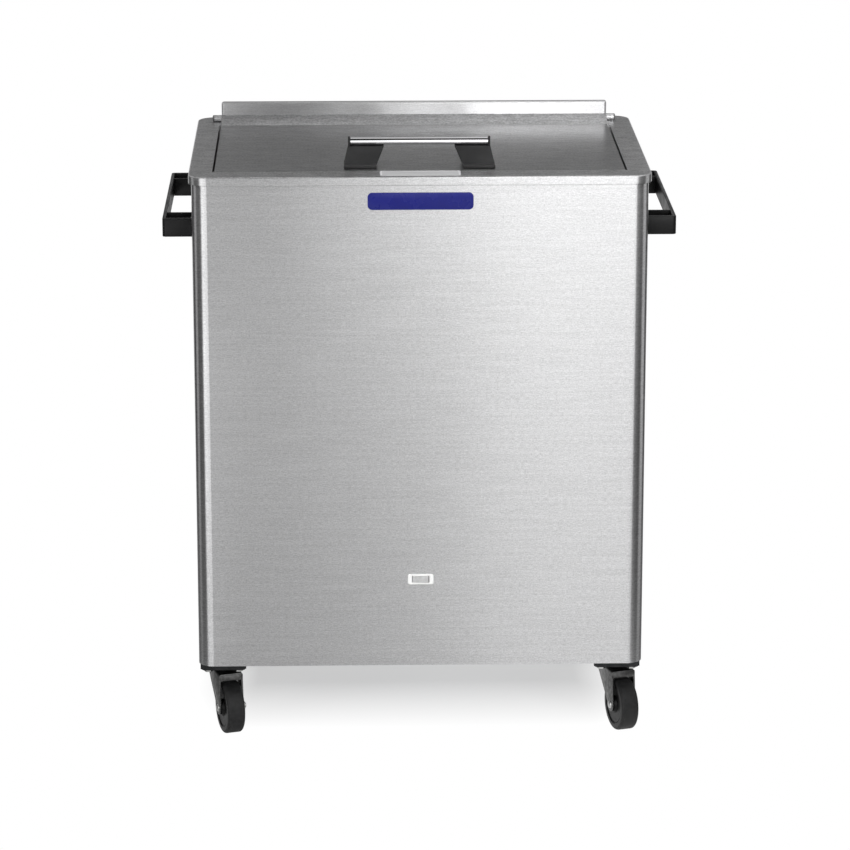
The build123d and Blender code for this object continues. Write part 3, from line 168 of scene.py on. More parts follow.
def brushedSteel(name, look):
    finish, tree, shader = newFinish(name)
    grain = cloud(tree, look["grain"], detail=2.0)
    band = cloud(tree, look["band"], detail=3.0)
    speck = cloud(tree, look["speck"], detail=1.0)
    smudge = cloud(tree, steelMix["smudge"], detail=5.0, roughness=0.6)
    streaks = mixNoise(tree, grain, band, steelMix["grainShare"])
    mixed = mixNoise(tree, streaks, speck, steelMix["streakShare"])
    shade = spread(tree, mixed, 0, 1, *steelMix["tintRange"])
    tree.links.new(blendColours(tree, shade, look["worn"], look["colour"]), shader.inputs["Base Color"])
    fine = spread(tree, streaks, *look["rough"])
    rough = combine(tree, "ADD", fine, spread(tree, smudge, *steelMix["smudgeRough"]))
    tree.links.new(rough, shader.inputs["Roughness"])
    shader.inputs["Metallic"].default_value = 1.0
    shader.inputs["Anisotropic"].default_value = look["anisotropy"]
    acrossGrain(tree, shader)
    bumpFrom(tree, shader, mixed, look["bump"], steelMix["relief"])
    return finish


# Plain metals: colour, darker patches, patch size, roughness range, bump
metalLooks = {
    "galvanised": {
        "colour": (0.56, 0.57, 0.58), "dark": (0.42, 0.43, 0.45),
        "patch": 0.012, "rough": (0.38, 0.55), "bump": 0.05,
    },
    "zinc": {
        "colour": (0.62, 0.62, 0.61), "dark": (0.47, 0.47, 0.46),
        "patch": 0.006, "rough": (0.26, 0.42), "bump": 0.05,
    },
    # painted shade: the galvanised rails and zinc caster plates are given near black for the shadow under the
    # body
    "shadedSteel": {
        "colour": (0.055, 0.056, 0.058), "dark": (0.030, 0.031, 0.032),
        "patch": 0.012, "rough": (0.45, 0.60), "bump": 0.05,
    },
    # painted shade: the zinc yokes are darkened for the shade they sit in under the body
    "yokeZinc": {
        "colour": (0.20, 0.20, 0.198), "dark": (0.07, 0.07, 0.069),
        "patch": 0.006, "rough": (0.28, 0.42), "bump": 0.05,
    },
    # painted shade: the hinge pin's zinc is darkened for the shade and dark outline round it
    "darkZinc": {
        "colour": (0.34, 0.34, 0.335), "dark": (0.20, 0.20, 0.197),
        "patch": 0.004, "rough": (0.24, 0.40), "bump": 0.05,
    },
    "chrome": {
        "colour": (0.88, 0.88, 0.89), "dark": (0.82, 0.82, 0.83),
        "patch": 0.02, "rough": (0.04, 0.09), "bump": 0.01,
    },
    "aluminium": {
        "colour": (0.74, 0.75, 0.76), "dark": (0.60, 0.61, 0.62),
        "patch": 0.01, "rough": (0.32, 0.48), "bump": 0.04,
    },
    "copper": {
        "colour": (0.82, 0.44, 0.29), "dark": (0.48, 0.25, 0.17),
        "patch": 0.008, "rough": (0.22, 0.45), "bump": 0.05,
    },
}
metalPore = {"size": 0.0006, "relief": 0.0002}


def plainMetal(name, look):
    finish, tree, shader = newFinish(name)
    patch = cloud(tree, [look["patch"]] * 3, detail=6.0, roughness=0.6)
    fine = cloud(tree, [metalPore["size"]] * 3, detail=2.0)
    tint = blendColours(tree, spread(tree, patch, 0, 1), look["dark"], look["colour"])
    tree.links.new(tint, shader.inputs["Base Color"])
    low, high = look["rough"]
    tree.links.new(spread(tree, patch, high, low), shader.inputs["Roughness"])
    shader.inputs["Metallic"].default_value = 1.0
    bumpFrom(tree, shader, combine(tree, "ADD", patch, fine), look["bump"], metalPore["relief"])
    return finish


# Painted and moulded surfaces: colour, second colour, patch and pore size, roughness range, bump
coatLooks = {
    "blackPaint": {
        "specular": 0.22, "colour": (0.003, 0.003, 0.0032), "second": (0.006, 0.006, 0.0063),
        "patch": 0.03, "pore": 0.0012, "rough": (0.30, 0.44), "bump": 0.12,
    },
    "blackPlastic": {
        "specular": 0.35, "colour": (0.015, 0.015, 0.0155), "second": (0.022, 0.022, 0.0225),
        "patch": 0.02, "pore": 0.0007, "rough": (0.42, 0.55), "bump": 0.10,
    },
    "whitePlastic": {
        "colour": (0.96, 0.96, 0.95), "second": (0.92, 0.92, 0.91),
        "patch": 0.01, "pore": 0.0006, "rough": (0.28, 0.38), "bump": 0.05,
    },
    "greyPlastic": {
        "colour": (0.60, 0.60, 0.60), "second": (0.48, 0.48, 0.48),
        "patch": 0.006, "pore": 0.0006, "rough": (0.30, 0.42), "bump": 0.05,
    },
    "liner": {
        "colour": (0.78, 0.79, 0.79), "second": (0.70, 0.71, 0.71),
        "patch": 0.09, "pore": 0.0015, "rough": (0.30, 0.42), "bump": 0.06,
    },
    "foam": {
        "colour": (0.72, 0.62, 0.40), "second": (0.58, 0.48, 0.28),
        "patch": 0.02, "pore": 0.0015, "rough": (0.85, 0.95), "bump": 0.6,
    },
    "gasket": {
        "colour": (0.030, 0.030, 0.031), "second": (0.042, 0.042, 0.043),
        "patch": 0.02, "pore": 0.0008, "rough": (0.55, 0.70), "bump": 0.08,
    },
    "tyre": {
        "specular": 0.3, "colour": (0.008, 0.008, 0.0082), "second": (0.021, 0.021, 0.0213),
        "patch": 0.006, "pore": 0.0010, "rough": (0.48, 0.66), "bump": 0.15,
    },
    "wheelSide": {
        "specular": 0.16, "colour": (0.003, 0.003, 0.0031), "second": (0.007, 0.007, 0.0072),
        "patch": 0.005, "pore": 0.0012, "rough": (0.26, 0.40), "bump": 0.10,
    },
    "bluePlate": {
        "specular": 0.2, "colour": (0.010, 0.013, 0.170), "second": (0.011, 0.015, 0.182),
        "patch": 0.02, "pore": 0.0010, "rough": (0.22, 0.32), "bump": 0.03,
    },
    "labelField": {
        "colour": (0.37, 0.37, 0.375), "second": (0.33, 0.33, 0.335),
        "patch": 0.01, "pore": 0.0008, "rough": (0.35, 0.45), "bump": 0.04,
    },
    "labelPlate": {
        "colour": (0.52, 0.52, 0.53), "second": (0.46, 0.46, 0.47),
        "patch": 0.01, "pore": 0.0008, "rough": (0.35, 0.45), "bump": 0.04,
    },
}
coatRelief = {"patchShare": 0.5, "height": 0.0003}


def coat(name, look):
    finish, tree, shader = newFinish(name)
    patch = cloud(tree, [look["patch"]] * 3, detail=5.0, roughness=0.6)
    pore = cloud(tree, [look["pore"]] * 3, detail=2.0)
    tint = blendColours(tree, spread(tree, patch, 0, 1), look["colour"], look["second"])
    tree.links.new(tint, shader.inputs["Base Color"])
    tree.links.new(spread(tree, patch, *look["rough"]), shader.inputs["Roughness"])
    shader.inputs["Specular IOR Level"].default_value = look.get("specular", 0.5)
    height = combine(tree, "ADD", pore, combine(tree, "MULTIPLY", patch, coatRelief["patchShare"]))
    bumpFrom(tree, shader, height, look["bump"], coatRelief["height"])
    return finish


finishes = {}
for makeFinish, looks in ((brushedSteel, steelLooks), (plainMetal, metalLooks), (coat, coatLooks)):
    for name, look in looks.items():
        finishes[name] = makeFinish(name, look)
print("finishes made:", len(finishes))

nodeFinishes = {
    "wallSteel": ["outer_wrap", "rear_panel", "service_panel"],
    "tankSteel": ["inner_tank"],
    "deckSteel": ["top_deck", "hinge_fixed_leaf", "hinge_moving_leaf"],
    "lidSteel": ["lid_skin"],
    "galvanised": ["base_pan", "divider_panel", "fan_shroud"],
    # the rails take the painted-shade near-black steel
    "shadedSteel": ["caster_rails"],
    "blackPlastic": [
        "breaker_strip", "thermostat_body", "thermostat_knob", "wiring_box", "cord_gland", "lid_handle_legs",
    ],
    "copper": ["evaporator_coil", "filter_drier", "refrigerant_lines"],
    "foam": ["foam_insulation", "lid_foam"],
    "blackPaint": ["compressor", "fan_motor", "side_handle_left", "side_handle_right", "handle_brackets"],
    "gasket": ["compressor_feet", "lid_gasket"],
    "aluminium": ["condenser", "fan_blade"],
    "bluePlate": ["badge_plate"],
    "labelPlate": ["deck_label"],
    "whitePlastic": ["switch_housing"],
    "greyPlastic": ["switch_rocker"],
    "zinc": ["cabinet_screws", "hinge_pin", "lid_handle_screws", "floor_rack", "caster_bolts"]
    + [f"caster_{part}_{corner}" for corner in corners for part in ("plate", "yoke", "axle")],
    "liner": ["lid_inner_pan"],
    "chrome": ["lid_handle_bar"],
    "tyre": [f"caster_wheel_{corner}" for corner in corners],
}
for finish, names in nodeFinishes.items():
    for name in names:
        for slot in nodes[name].material_slots:
            slot.material = finishes[finish]


# Helpers for modelled pieces. Sizes are in metres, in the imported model's own frame

def boxOf(node):
    low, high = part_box(node)
    return Vector(low), Vector(high)


def quarterTurn(axis, turns=1):
    return Matrix.Rotation(math.radians(90 * turns), 4, axis)


def meshPiece(name, shape, finish, body, node, sharpAngle=32, second=None, flatArea=None):
    # second is a further finish, and faces larger than flatArea stay flat shaded beside a bend
    bmesh.ops.remove_doubles(shape, verts=shape.verts, dist=1e-6)
    bmesh.ops.recalc_face_normals(shape, faces=shape.faces)
    mesh = bpy.data.meshes.new(name)
    shape.to_mesh(mesh)
    shape.free()
    mesh.shade_smooth()
    mesh.set_sharp_from_angle(angle=math.radians(sharpAngle))
    for face in mesh.polygons:
        if flatArea and face.area > flatArea:
            for corner in face.loop_indices:
                mesh.edges[mesh.loops[corner].edge_index].use_edge_sharp = True
    mesh.materials.append(finishes[finish])
    if second:
        mesh.materials.append(finishes[second])
    piece = bpy.data.objects.new(name, mesh)
    bpy.context.scene.collection.objects.link(piece)
    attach(piece, body)
    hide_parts(node)


def block(shape, low, high):
    # a box between two corners, as new vertices of shape
    low, high = Vector(low), Vector(high)
    made = bmesh.ops.create_cube(shape, size=1)["verts"]
    bmesh.ops.scale(shape, vec=high - low, verts=made)
    bmesh.ops.translate(shape, vec=(low + high) / 2, verts=made)
    return made


def rod(shape, radius, length, sides, matrix, topRadius=None):
    # a capped cylinder or prism that stands along z until matrix places it
    return bmesh.ops.create_cone(
        shape, cap_ends=True, segments=sides, radius1=radius, radius2=topRadius or radius, depth=length,
        matrix=matrix,
    )["verts"]


def edgesOf(verts):
    return list({edge for vert in verts for edge in vert.link_edges})


def sharpEdges(shape, angle=30):
    limit = math.radians(angle)
    return [
        edge for edge in shape.edges
        if len(edge.link_faces) == 2 and edge.calc_face_angle(0) > limit
    ]


def soften(shape, edges, width, segments=2):
    bmesh.ops.bevel(
        shape, geom=edges, offset=width, offset_type="OFFSET", affect="EDGES",
        segments=segments, profile=0.5, material=-1, clamp_overlap=True,
    )


def extrudeLoop(shape, loop):
    # grows a strip of faces from a closed loop of edges, and returns the new loop
    grown = bmesh.ops.extrude_edge_only(shape, edges=loop)["geom"]
    verts = [item for item in grown if isinstance(item, bmesh.types.BMVert)]
    edges = [item for item in grown if isinstance(item, bmesh.types.BMEdge)]
    return verts, [edge for edge in edges if all(vert in verts for vert in edge.verts)]


def cleanCopy(node):
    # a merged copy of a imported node's mesh, with its flat faces whole again
    shape = bmesh.new()
    shape.from_mesh(nodes[node].data)
    bmesh.ops.remove_doubles(shape, verts=shape.verts, dist=2e-6)
    flat = math.radians(0.5)
    bmesh.ops.dissolve_limit(shape, angle_limit=flat, verts=shape.verts, edges=shape.edges)
    return shape


def softCopy(name, node, finish, body, width, segments=2):
    shape = cleanCopy(node)
    soften(shape, sharpEdges(shape), width, segments)
    meshPiece(name, shape, finish, body, node)


def flipped(profile):
    # (place, radius) pairs on the other side of the middle, in the opposite order
    return [(-place, radius) for place, radius in reversed(profile)]


def turned(shape, profile, steps):
    # spins (place along x, radius) pairs round the x axis
    verts = [shape.verts.new((place, 0, radius)) for place, radius in profile]
    edges = [shape.edges.new(pair) for pair in zip(verts, verts[1:])]
    bmesh.ops.spin(
        shape, geom=verts + edges, cent=(0, 0, 0), axis=(1, 0, 0), dvec=(0, 0, 0),
        angle=math.tau, steps=steps, use_merge=True, use_duplicate=False,
    )
    bmesh.ops.remove_doubles(shape, verts=shape.verts, dist=1e-6)


def placeAll(shape, matrix):
    bmesh.ops.transform(shape, matrix=matrix, verts=shape.verts)


# Lid handle: two moulded legs that lean back to a chrome bar
lidHandle = {
    "deck": 0.832, "footHeight": 0.0044, "footInner": 0.0607, "footOuter": 0.1063,
    "footFront": -0.1745, "footRear": -0.1305, "legInner": 0.0497, "legOuter": 0.1005,
    "legBase": (-0.1619, -0.1325), "legTop": (-0.1400, -0.1275), "legTopHeight": 0.8579,
    "legOverlap": 0.002, "cheekOverlap": 0.003, "earRadius": 0.007, "earThickness": 0.003, "earSides": 40,
    "barY": -0.1335, "barZ": 0.864, "barRadius": 0.006, "barHalf": 0.0975, "barChamfer": 0.0006,
    "barSteps": 72, "softness": 0.0011, "softSteps": 3,
}


def makeHandleLegs():
    size = lidHandle
    top, legTop = size["deck"] + size["footHeight"], size["legTopHeight"]
    inner, outer = size["footInner"], size["footOuter"]
    front, rear = size["legBase"]
    topFront, topRear = size["legTop"]
    shape = bmesh.new()
    for side in (-1, 1):
        foot = block(shape, (inner, size["footFront"], size["deck"]), (outer, size["footRear"], top))
        leg = block(shape, (inner, front, top - size["legOverlap"]), (outer, rear, legTop))
        for vert in leg:
            if vert.co.z > top:
                vert.co.x = size["legInner"] if vert.co.x < (inner + outer) / 2 else size["legOuter"]
                vert.co.y = topFront if vert.co.y < (front + rear) / 2 else topRear
        earAt = (size["barHalf"] + size["earThickness"] / 2, size["barY"], size["barZ"])
        ear = rod(
            shape, size["earRadius"], size["earThickness"], size["earSides"],
            Matrix.Translation(earAt) @ quarterTurn("Y"),
        )
        cheek = block(
            shape, (size["barHalf"], topFront, legTop - size["cheekOverlap"]),
            (size["legOuter"], topRear, size["barZ"]),
        )
        if side < 0:
            bmesh.ops.scale(shape, vec=(-1, 1, 1), verts=foot + leg + ear + cheek)
    soften(shape, sharpEdges(shape), size["softness"], size["softSteps"])
    meshPiece(
        "lidHandleLegs", shape, "blackPlastic", "lid", "lid_handle_legs", sharpAngle=40,
    )


def makeHandleBar():
    size = lidHandle
    half, radius, chamfer = size["barHalf"], size["barRadius"], size["barChamfer"]
    end = [(half - chamfer, radius), (half, radius - chamfer), (half, 0)]
    shape = bmesh.new()
    turned(shape, flipped(end) + end, size["barSteps"])
    placeAll(shape, Matrix.Translation((0, size["barY"], size["barZ"])))
    meshPiece("lidHandleBar", shape, "chrome", "lid", "lid_handle_bar")


makeHandleLegs()
makeHandleBar()
print("lid handle made")


# Lid skin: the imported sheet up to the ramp, then an upstand folded with softer bends
lidSkin = {"cut": 0.8436, "foldDepth": 0.007, "bend": 0.0034, "bendSteps": 5, "sheet": 0.001}


def makeLidSkin():
    low, high = boxOf("lid_skin")
    cut = lidSkin["cut"]
    shape = cleanCopy("lid_skin")
    whole = shape.verts[:] + shape.edges[:] + shape.faces[:]
    bmesh.ops.bisect_plane(
        shape, geom=whole, dist=1e-6, plane_co=(0, 0, cut), plane_no=(0, 0, 1), clear_outer=True,
    )
    hood = bmesh.new()
    block(hood, (low.x, high.y - lidSkin["foldDepth"], cut), high)
    openFaces = [face for face in hood.faces if face.normal.z < -0.5 or face.normal.y > 0.5]
    bmesh.ops.delete(hood, geom=openFaces, context="FACES")
    soften(hood, sharpEdges(hood), lidSkin["bend"], lidSkin["bendSteps"])
    bmesh.ops.solidify(hood, geom=hood.faces[:], thickness=lidSkin["sheet"])
    folded = bpy.data.meshes.new("foldedUpstand")
    hood.to_mesh(folded)
    hood.free()
    shape.from_mesh(folded)
    bpy.data.meshes.remove(folded)
    # faces above the cut, the upstand, take the lighter painted-light copy of the lid's steel
    for face in shape.faces:
        face.material_index = int(face.calc_center_median().z > cut)
    meshPiece(
        "lidSkin", shape, "lidSteel", "lid", "lid_skin", sharpAngle=20, second="foldSteel",
    )


makeLidSkin()
print("lid skin made")


# Top deck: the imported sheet, with a turned lower edge and the wall's grain on its skirt
deck = {
    "steep": 0.7, "flatArea": 0.0008, "foot": 0.8193, "footSlack": 0.0001, "outward": 0.01,
    "hem": 0.0008, "hemSteps": 4,
}


def makeDeck():
    shape = cleanCopy("top_deck")
    rim = [
        edge for edge in sharpEdges(shape)
        if all(abs(vert.co.z - deck["foot"]) < deck["footSlack"] for vert in edge.verts)
    ]
    outer = [
        edge for edge in rim
        if any(face.normal.xy.dot(edge.verts[0].co.xy) > deck["outward"] for face in edge.link_faces)
    ]
    soften(shape, outer, deck["hem"], deck["hemSteps"])
    for face in shape.faces:
        face.material_index = int(abs(face.normal.z) < deck["steep"])
    meshPiece(
        "topDeck", shape, "deckSteel", "cabinet", "top_deck",
        second="wallSteel", flatArea=deck["flatArea"],
    )


makeDeck()
print("top deck made")


# Lid inner pan: a vacuum formed liner with a raised edge round its bare middle
innerPan = {"margin": 0.045, "step": 0.006, "depth": 0.001, "softness": 0.0006, "sharp": 5}


def makeInnerPan():
    shape = cleanCopy("lid_inner_pan")
    under = min(shape.faces, key=lambda face: face.calc_center_median().z)
    bmesh.ops.inset_region(shape, faces=[under], thickness=innerPan["margin"], depth=0)
    bmesh.ops.inset_region(shape, faces=[under], thickness=innerPan["step"], depth=-innerPan["depth"])
    soften(shape, sharpEdges(shape, innerPan["sharp"]), innerPan["softness"])
    meshPiece("lidInnerPan", shape, "liner", "lid", "lid_inner_pan")


makeInnerPan()
print("lid inner pan made")


# Hinge: a pin with domed heads, and leaves with their cut edges eased
hinge = {
    "axisY": 0.1905, "axisZ": 0.837, "pinRadius": 0.002, "pinHalf": 0.2995,
    "headRadius": 0.005, "headLength": 0.0025, "rim": 0.0003, "domeSteps": 8, "turnSteps": 40,
    "ease": 0.0002,
}


def makeHingePin():
    size = hinge
    radius, rim, steps = size["headRadius"], size["rim"], size["domeSteps"]
    start = size["pinHalf"]
    domeStart, rise = start + 2 * rim, size["headLength"] - 2 * rim
    end = [(start, size["pinRadius"]), (start, radius - rim), (start + rim, radius), (domeStart, radius)]
    for step in range(1, steps):
        turn = math.radians(90 * step / steps)
        end.append((domeStart + rise * math.sin(turn), radius * math.cos(turn)))
    end.append((domeStart + rise, 0))
    shape = bmesh.new()
    turned(shape, flipped(end) + end, size["turnSteps"])
    placeAll(shape, Matrix.Translation((0, size["axisY"], size["axisZ"])))
    # the pin takes the zinc darkened as painted shade
    meshPiece("hingePin", shape, "darkZinc", "cabinet", "hinge_pin")


makeHingePin()
softCopy("hingeFixedLeaf", "hinge_fixed_leaf", "deckSteel", "cabinet", hinge["ease"], 1)
softCopy("hingeMovingLeaf", "hinge_moving_leaf", "deckSteel", "lid", hinge["ease"], 1)
print("hinge made")


# Pan head screws with a cross recess, one on each packed screw. The rings are (radius, height)
screw = {
    "headHeight": 0.0016, "crownRadius": 0.0033, "crownHeight": 0.001376, "crownSides": 36,
    "rings": (
        (0.0038, 0.000992), (0.004, 0.0006), (0.004, 0), (0.002, 0), (0.002, -0.007), (0.0004, -0.008),
    ),
    "crossReach": 0.0021, "crossHalf": 0.00045, "crossDepth": 0.0011, "crossTaper": 0.6,
    "sideFrom": 0.305, "lying": 0.009, "firstTurn": 37, "turnRate": 5000,
}


def islandBoxes(node):
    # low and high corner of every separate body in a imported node
    shape = cleanCopy(node)
    left = set(shape.verts)
    boxes = []
    while left:
        reached = {left.pop()}
        fresh = set(reached)
        while fresh:
            fresh = {edge.other_vert(vert) for vert in fresh for edge in vert.link_edges} - reached
            reached |= fresh
        left -= reached
        spots = [vert.co.copy() for vert in reached]
        boxes.append([Vector(pick(spot[axis] for spot in spots) for axis in range(3)) for pick in (min, max)])
    shape.free()
    return boxes


def addScrew(shape, matrix):
    # the head's seat is at z 0, the shank points down
    reach, half, height = screw["crossReach"], screw["crossHalf"], screw["headHeight"]
    corner = [Vector(spot) for spot in ((half, half), (half, reach), (-half, reach))]
    outline = [Matrix.Rotation(math.radians(90 * turn), 2) @ spot for turn in range(4) for spot in corner]
    cross = [shape.verts.new((*spot, height)) for spot in outline]
    crossEdges = [shape.edges.new(pair) for pair in zip(cross, cross[1:] + cross[:1])]
    crown = bmesh.ops.create_circle(
        shape, segments=screw["crownSides"], radius=screw["crownRadius"],
        matrix=Matrix.Translation((0, 0, screw["crownHeight"])),
    )["verts"]
    loop = edgesOf(crown)
    bmesh.ops.bridge_loops(shape, edges=crossEdges + loop)
    made = cross + crown
    for radius, level in screw["rings"]:
        verts, loop = extrudeLoop(shape, loop)
        for vert in verts:
            vert.co = (*(vert.co.xy.normalized() * radius), level)
        made += verts
    bmesh.ops.contextual_create(shape, geom=loop)
    verts, loop = extrudeLoop(shape, crossEdges)
    for vert in verts:
        vert.co = (*(vert.co.xy * screw["crossTaper"]), height - screw["crossDepth"])
    bmesh.ops.contextual_create(shape, geom=loop)
    bmesh.ops.transform(shape, matrix=matrix, verts=made + verts)


def makeScrews():
    shape = bmesh.new()
    for low, high in islandBoxes("cabinet_screws"):
        middle = (low + high) / 2
        seat = middle.copy()
        if abs(middle.x) > screw["sideFrom"] and high.x - low.x > screw["lying"]:
            side = 1 if middle.x > 0 else -1
            seat.x = side * (max(abs(low.x), abs(high.x)) - screw["headHeight"])
            turn = quarterTurn("Y", side)
        elif high.y - low.y > screw["lying"]:
            seat.y = high.y - screw["headHeight"]
            turn = quarterTurn("X", -1)
        else:
            seat.z = high.z - screw["headHeight"]
            turn = Matrix.Identity(4)
        degrees = screw["firstTurn"] + screw["turnRate"] * (middle.x + middle.z)  # no two alike
        spin = Matrix.Rotation(math.radians(degrees), 4, "Z")
        addScrew(shape, Matrix.Translation(seat) @ turn @ spin)
    meshPiece("cabinetScrews", shape, "zinc", "cabinet", "cabinet_screws", sharpAngle=35)


makeScrews()
print("screws made")


# Cord gland: hex flange, ribbed cap with a rounded mouth, and a nut inside the panel. The cap's
# profile is (place along the bore, radius), and ends where it starts
gland = {
    "x": 0.220, "z": 0.185, "seat": 0.2073, "hexRadius": 0.012, "flangeHeight": 0.005,
    "nutHeight": 0.005, "sheet": 0.0012, "edge": 0.0006, "edgeSteps": 3, "turnSteps": 60,
    "cap": (
        (-0.0112, 0.0042), (-0.0112, 0.0086), (-0.0108, 0.0090), (0.0070, 0.0090), (0.0076, 0.0083),
        (0.0082, 0.0087), (0.0098, 0.0081), (0.0113, 0.0067), (0.0119, 0.0060), (0.0120, 0.0054),
        (0.0117, 0.0045), (0.0111, 0.0042), (-0.0112, 0.0042),
    ),
}


def makeGland():
    # modelled along x, then turned to point to the rear
    size = gland
    shape = bmesh.new()
    turned(shape, size["cap"], size["turnSteps"])
    along = quarterTurn("Y") @ quarterTurn("Z")
    nutStart = -size["sheet"] - size["nutHeight"]
    for start, height in ((0, size["flangeHeight"]), (nutStart, size["nutHeight"])):
        place = Matrix.Translation((start + height / 2, 0, 0))
        hexagon = rod(shape, size["hexRadius"], height, 6, place @ along)
        soften(shape, edgesOf(hexagon), size["edge"], size["edgeSteps"])
    placeAll(shape, Matrix.Translation((size["x"], size["seat"], size["z"])) @ quarterTurn("Z"))
    meshPiece("cordGland", shape, "blackPlastic", "cabinet", "cord_gland", sharpAngle=35)


makeGland()
print("cord gland made")


# Casters: tyre with its side groove, axle bolt with a nut, and softened yoke, plate and bolts.
# The bolt head's dome is (share of its height, share of its radius), the lip is (half, front, low, high)
caster = {
    "spotX": 0.2855, "spotY": 0.1545, "yaw": 17, "trail": 0.030, "wheelRadius": 0.038, "wheelSteps": 72,
    "treadHalf": 0.013, "treadRound": 0.004, "treadSteps": 5, "sideRecess": 0.0012, "rimRadius": 0.027,
    "groove": 0.0006, "shoulder": 0.0024, "bossRadius": 0.0135, "hubRadius": 0.011, "hubHalf": 0.0151,
    "bore": 0.00405, "axleRadius": 0.004, "axleSteps": 36, "yokeHalf": 0.018, "headRadius": 0.0055,
    "headHeight": 0.0026, "dome": ((1, 0), (1, 0.45), (0.8, 0.75), (0.4, 0.95), (0, 1)),
    "nutAcross": 0.0105, "nutHeight": 0.004, "threadLength": 0.0012, "threadChamfer": 0.0006,
    "edge": 0.0005, "yokeEase": 0.0008, "plateEase": 0.0004, "boltEase": 0.0005,
    "lip": (0.0170, -0.0060, 0.0415, 0.0500), "lipSheet": 0.0020,
}


def casterPlace(corner):
    # local x runs along the axle, the origin is at its middle
    x = caster["spotX"] * (1 if "right" in corner else -1)
    y = caster["spotY"] * (1 if "rear" in corner else -1)
    yaw = math.radians(caster["yaw"])
    trail = caster["trail"]
    centre = (x + trail * math.sin(yaw), y - trail * math.cos(yaw), caster["wheelRadius"])
    return Matrix.Translation(centre) @ Matrix.Rotation(yaw, 4, "Z")


def makeWheel(corner):
    size = caster
    radius, half, rim, groove = size["wheelRadius"], size["treadHalf"], size["rimRadius"], size["groove"]
    inner = half - size["sideRecess"]
    side = [
        (size["hubHalf"], size["bore"]), (size["hubHalf"], size["hubRadius"]), (inner, size["bossRadius"]),
        (inner, rim - groove), (inner - groove, rim), (inner, rim + groove),
        (half, rim + size["shoulder"]), (half, radius),
    ]
    shape = bmesh.new()
    turned(shape, side + flipped(side) + side[:1], size["wheelSteps"])
    tread = [
        edge for edge in sharpEdges(shape)
        if all(vert.co.yz.length > radius - 1e-5 for vert in edge.verts)
    ]
    soften(shape, tread, size["treadRound"], size["treadSteps"])
    for face in shape.faces:
        face.material_index = int(face.calc_center_median().yz.length < radius - size["treadRound"])
    placeAll(shape, casterPlace(corner))
    meshPiece(
        f"casterWheel_{corner}", shape, "tyre", f"wheel_{corner}", f"caster_wheel_{corner}",
        sharpAngle=25, second="wheelSide",
    )


def makeYoke(corner):
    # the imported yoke, its edges rolled, and a short lip in front of its crown
    shape = cleanCopy(f"caster_yoke_{corner}")
    soften(shape, sharpEdges(shape), caster["yokeEase"])
    half, front, low, high = caster["lip"]
    lip = block(shape, (-half, front, low), (half, front + caster["lipSheet"], high))
    bmesh.ops.transform(shape, matrix=casterPlace(corner), verts=lip)
    soften(shape, edgesOf(lip), caster["edge"])
    # the yoke takes the zinc darkened as painted shade
    meshPiece(
        f"casterYoke_{corner}", shape, "yokeZinc", f"swivel_{corner}", f"caster_yoke_{corner}",
    )


def makeAxle(corner):
    # low domed head on the left, hex nut and the thread's end on the right
    size = caster
    yoke, radius, chamfer = size["yokeHalf"], size["axleRadius"], size["threadChamfer"]
    thread = yoke + size["nutHeight"] + size["threadLength"]
    head = [(-yoke - size["headHeight"] * rise, size["headRadius"] * reach) for rise, reach in size["dome"]]
    shank = [(-yoke, radius), (thread - chamfer, radius), (thread, radius - chamfer), (thread, 0)]
    shape = bmesh.new()
    turned(shape, head + shank, size["axleSteps"])
    place = Matrix.Translation((yoke + size["nutHeight"] / 2, 0, 0))
    nutRadius = size["nutAcross"] / 2 / math.cos(math.pi / 6)
    nut = rod(shape, nutRadius, size["nutHeight"], 6, place @ quarterTurn("Y"))
    soften(shape, edgesOf(nut), size["edge"])
    placeAll(shape, casterPlace(corner))
    meshPiece(
        f"casterAxle_{corner}", shape, "zinc", f"swivel_{corner}", f"caster_axle_{corner}",
    )


for corner in corners:
    makeWheel(corner)
    makeAxle(corner)
    makeYoke(corner)
    # the plates take the painted-shade near-black steel
    softCopy(
        f"casterPlate_{corner}", f"caster_plate_{corner}", "shadedSteel", "cabinet",
        caster["plateEase"],
    )
softCopy("casterBolts", "caster_bolts", "zinc", "cabinet", caster["boltEase"])
print("casters made")


# Softened edges on the straps, brackets, switch, badge, gasket and ledge
softEdges = {
    "strap": 0.0007, "bracket": 0.0004, "badge": 0.0003, "bezel": 0.0003, "rocker": 0.0004,
    "gasket": 0.0028, "strip": 0.0008,
}
for side in ("left", "right"):
    softCopy(
        f"sideHandle_{side}", f"side_handle_{side}", "blackPaint", "cabinet",
        softEdges["strap"],
    )
softCopy(
    "handleBrackets", "handle_brackets", "blackPaint", "cabinet", softEdges["bracket"],
)
softCopy("badgePlate", "badge_plate", "bluePlate", "cabinet", softEdges["badge"])
softCopy("switchHousing", "switch_housing", "whitePlastic", "cabinet", softEdges["bezel"])
softCopy("switchRocker", "switch_rocker", "greyPlastic", "rocker", softEdges["rocker"])
softCopy("lidGasket", "lid_gasket", "gasket", "lid", softEdges["gasket"], 4)
softCopy("breakerStrip", "breaker_strip", "blackPlastic", "cabinet", softEdges["strip"], 3)
print("straps, switch, badge and ledge softened")


# Deck label: bare field inside a paler border
label = {"border": 0.0022, "slope": 0.0002, "depth": 0.00006}


def makeLabel():
    shape = cleanCopy("deck_label")
    top = max(shape.faces, key=lambda face: face.calc_center_median().z)
    bmesh.ops.inset_region(shape, faces=[top], thickness=label["border"], depth=0)
    bmesh.ops.inset_region(shape, faces=[top], thickness=label["slope"], depth=-label["depth"])
    top.material_index = 1
    meshPiece(
        "deckLabel", shape, "labelPlate", "cabinet", "deck_label", second="labelField",
    )


makeLabel()
print("label made")


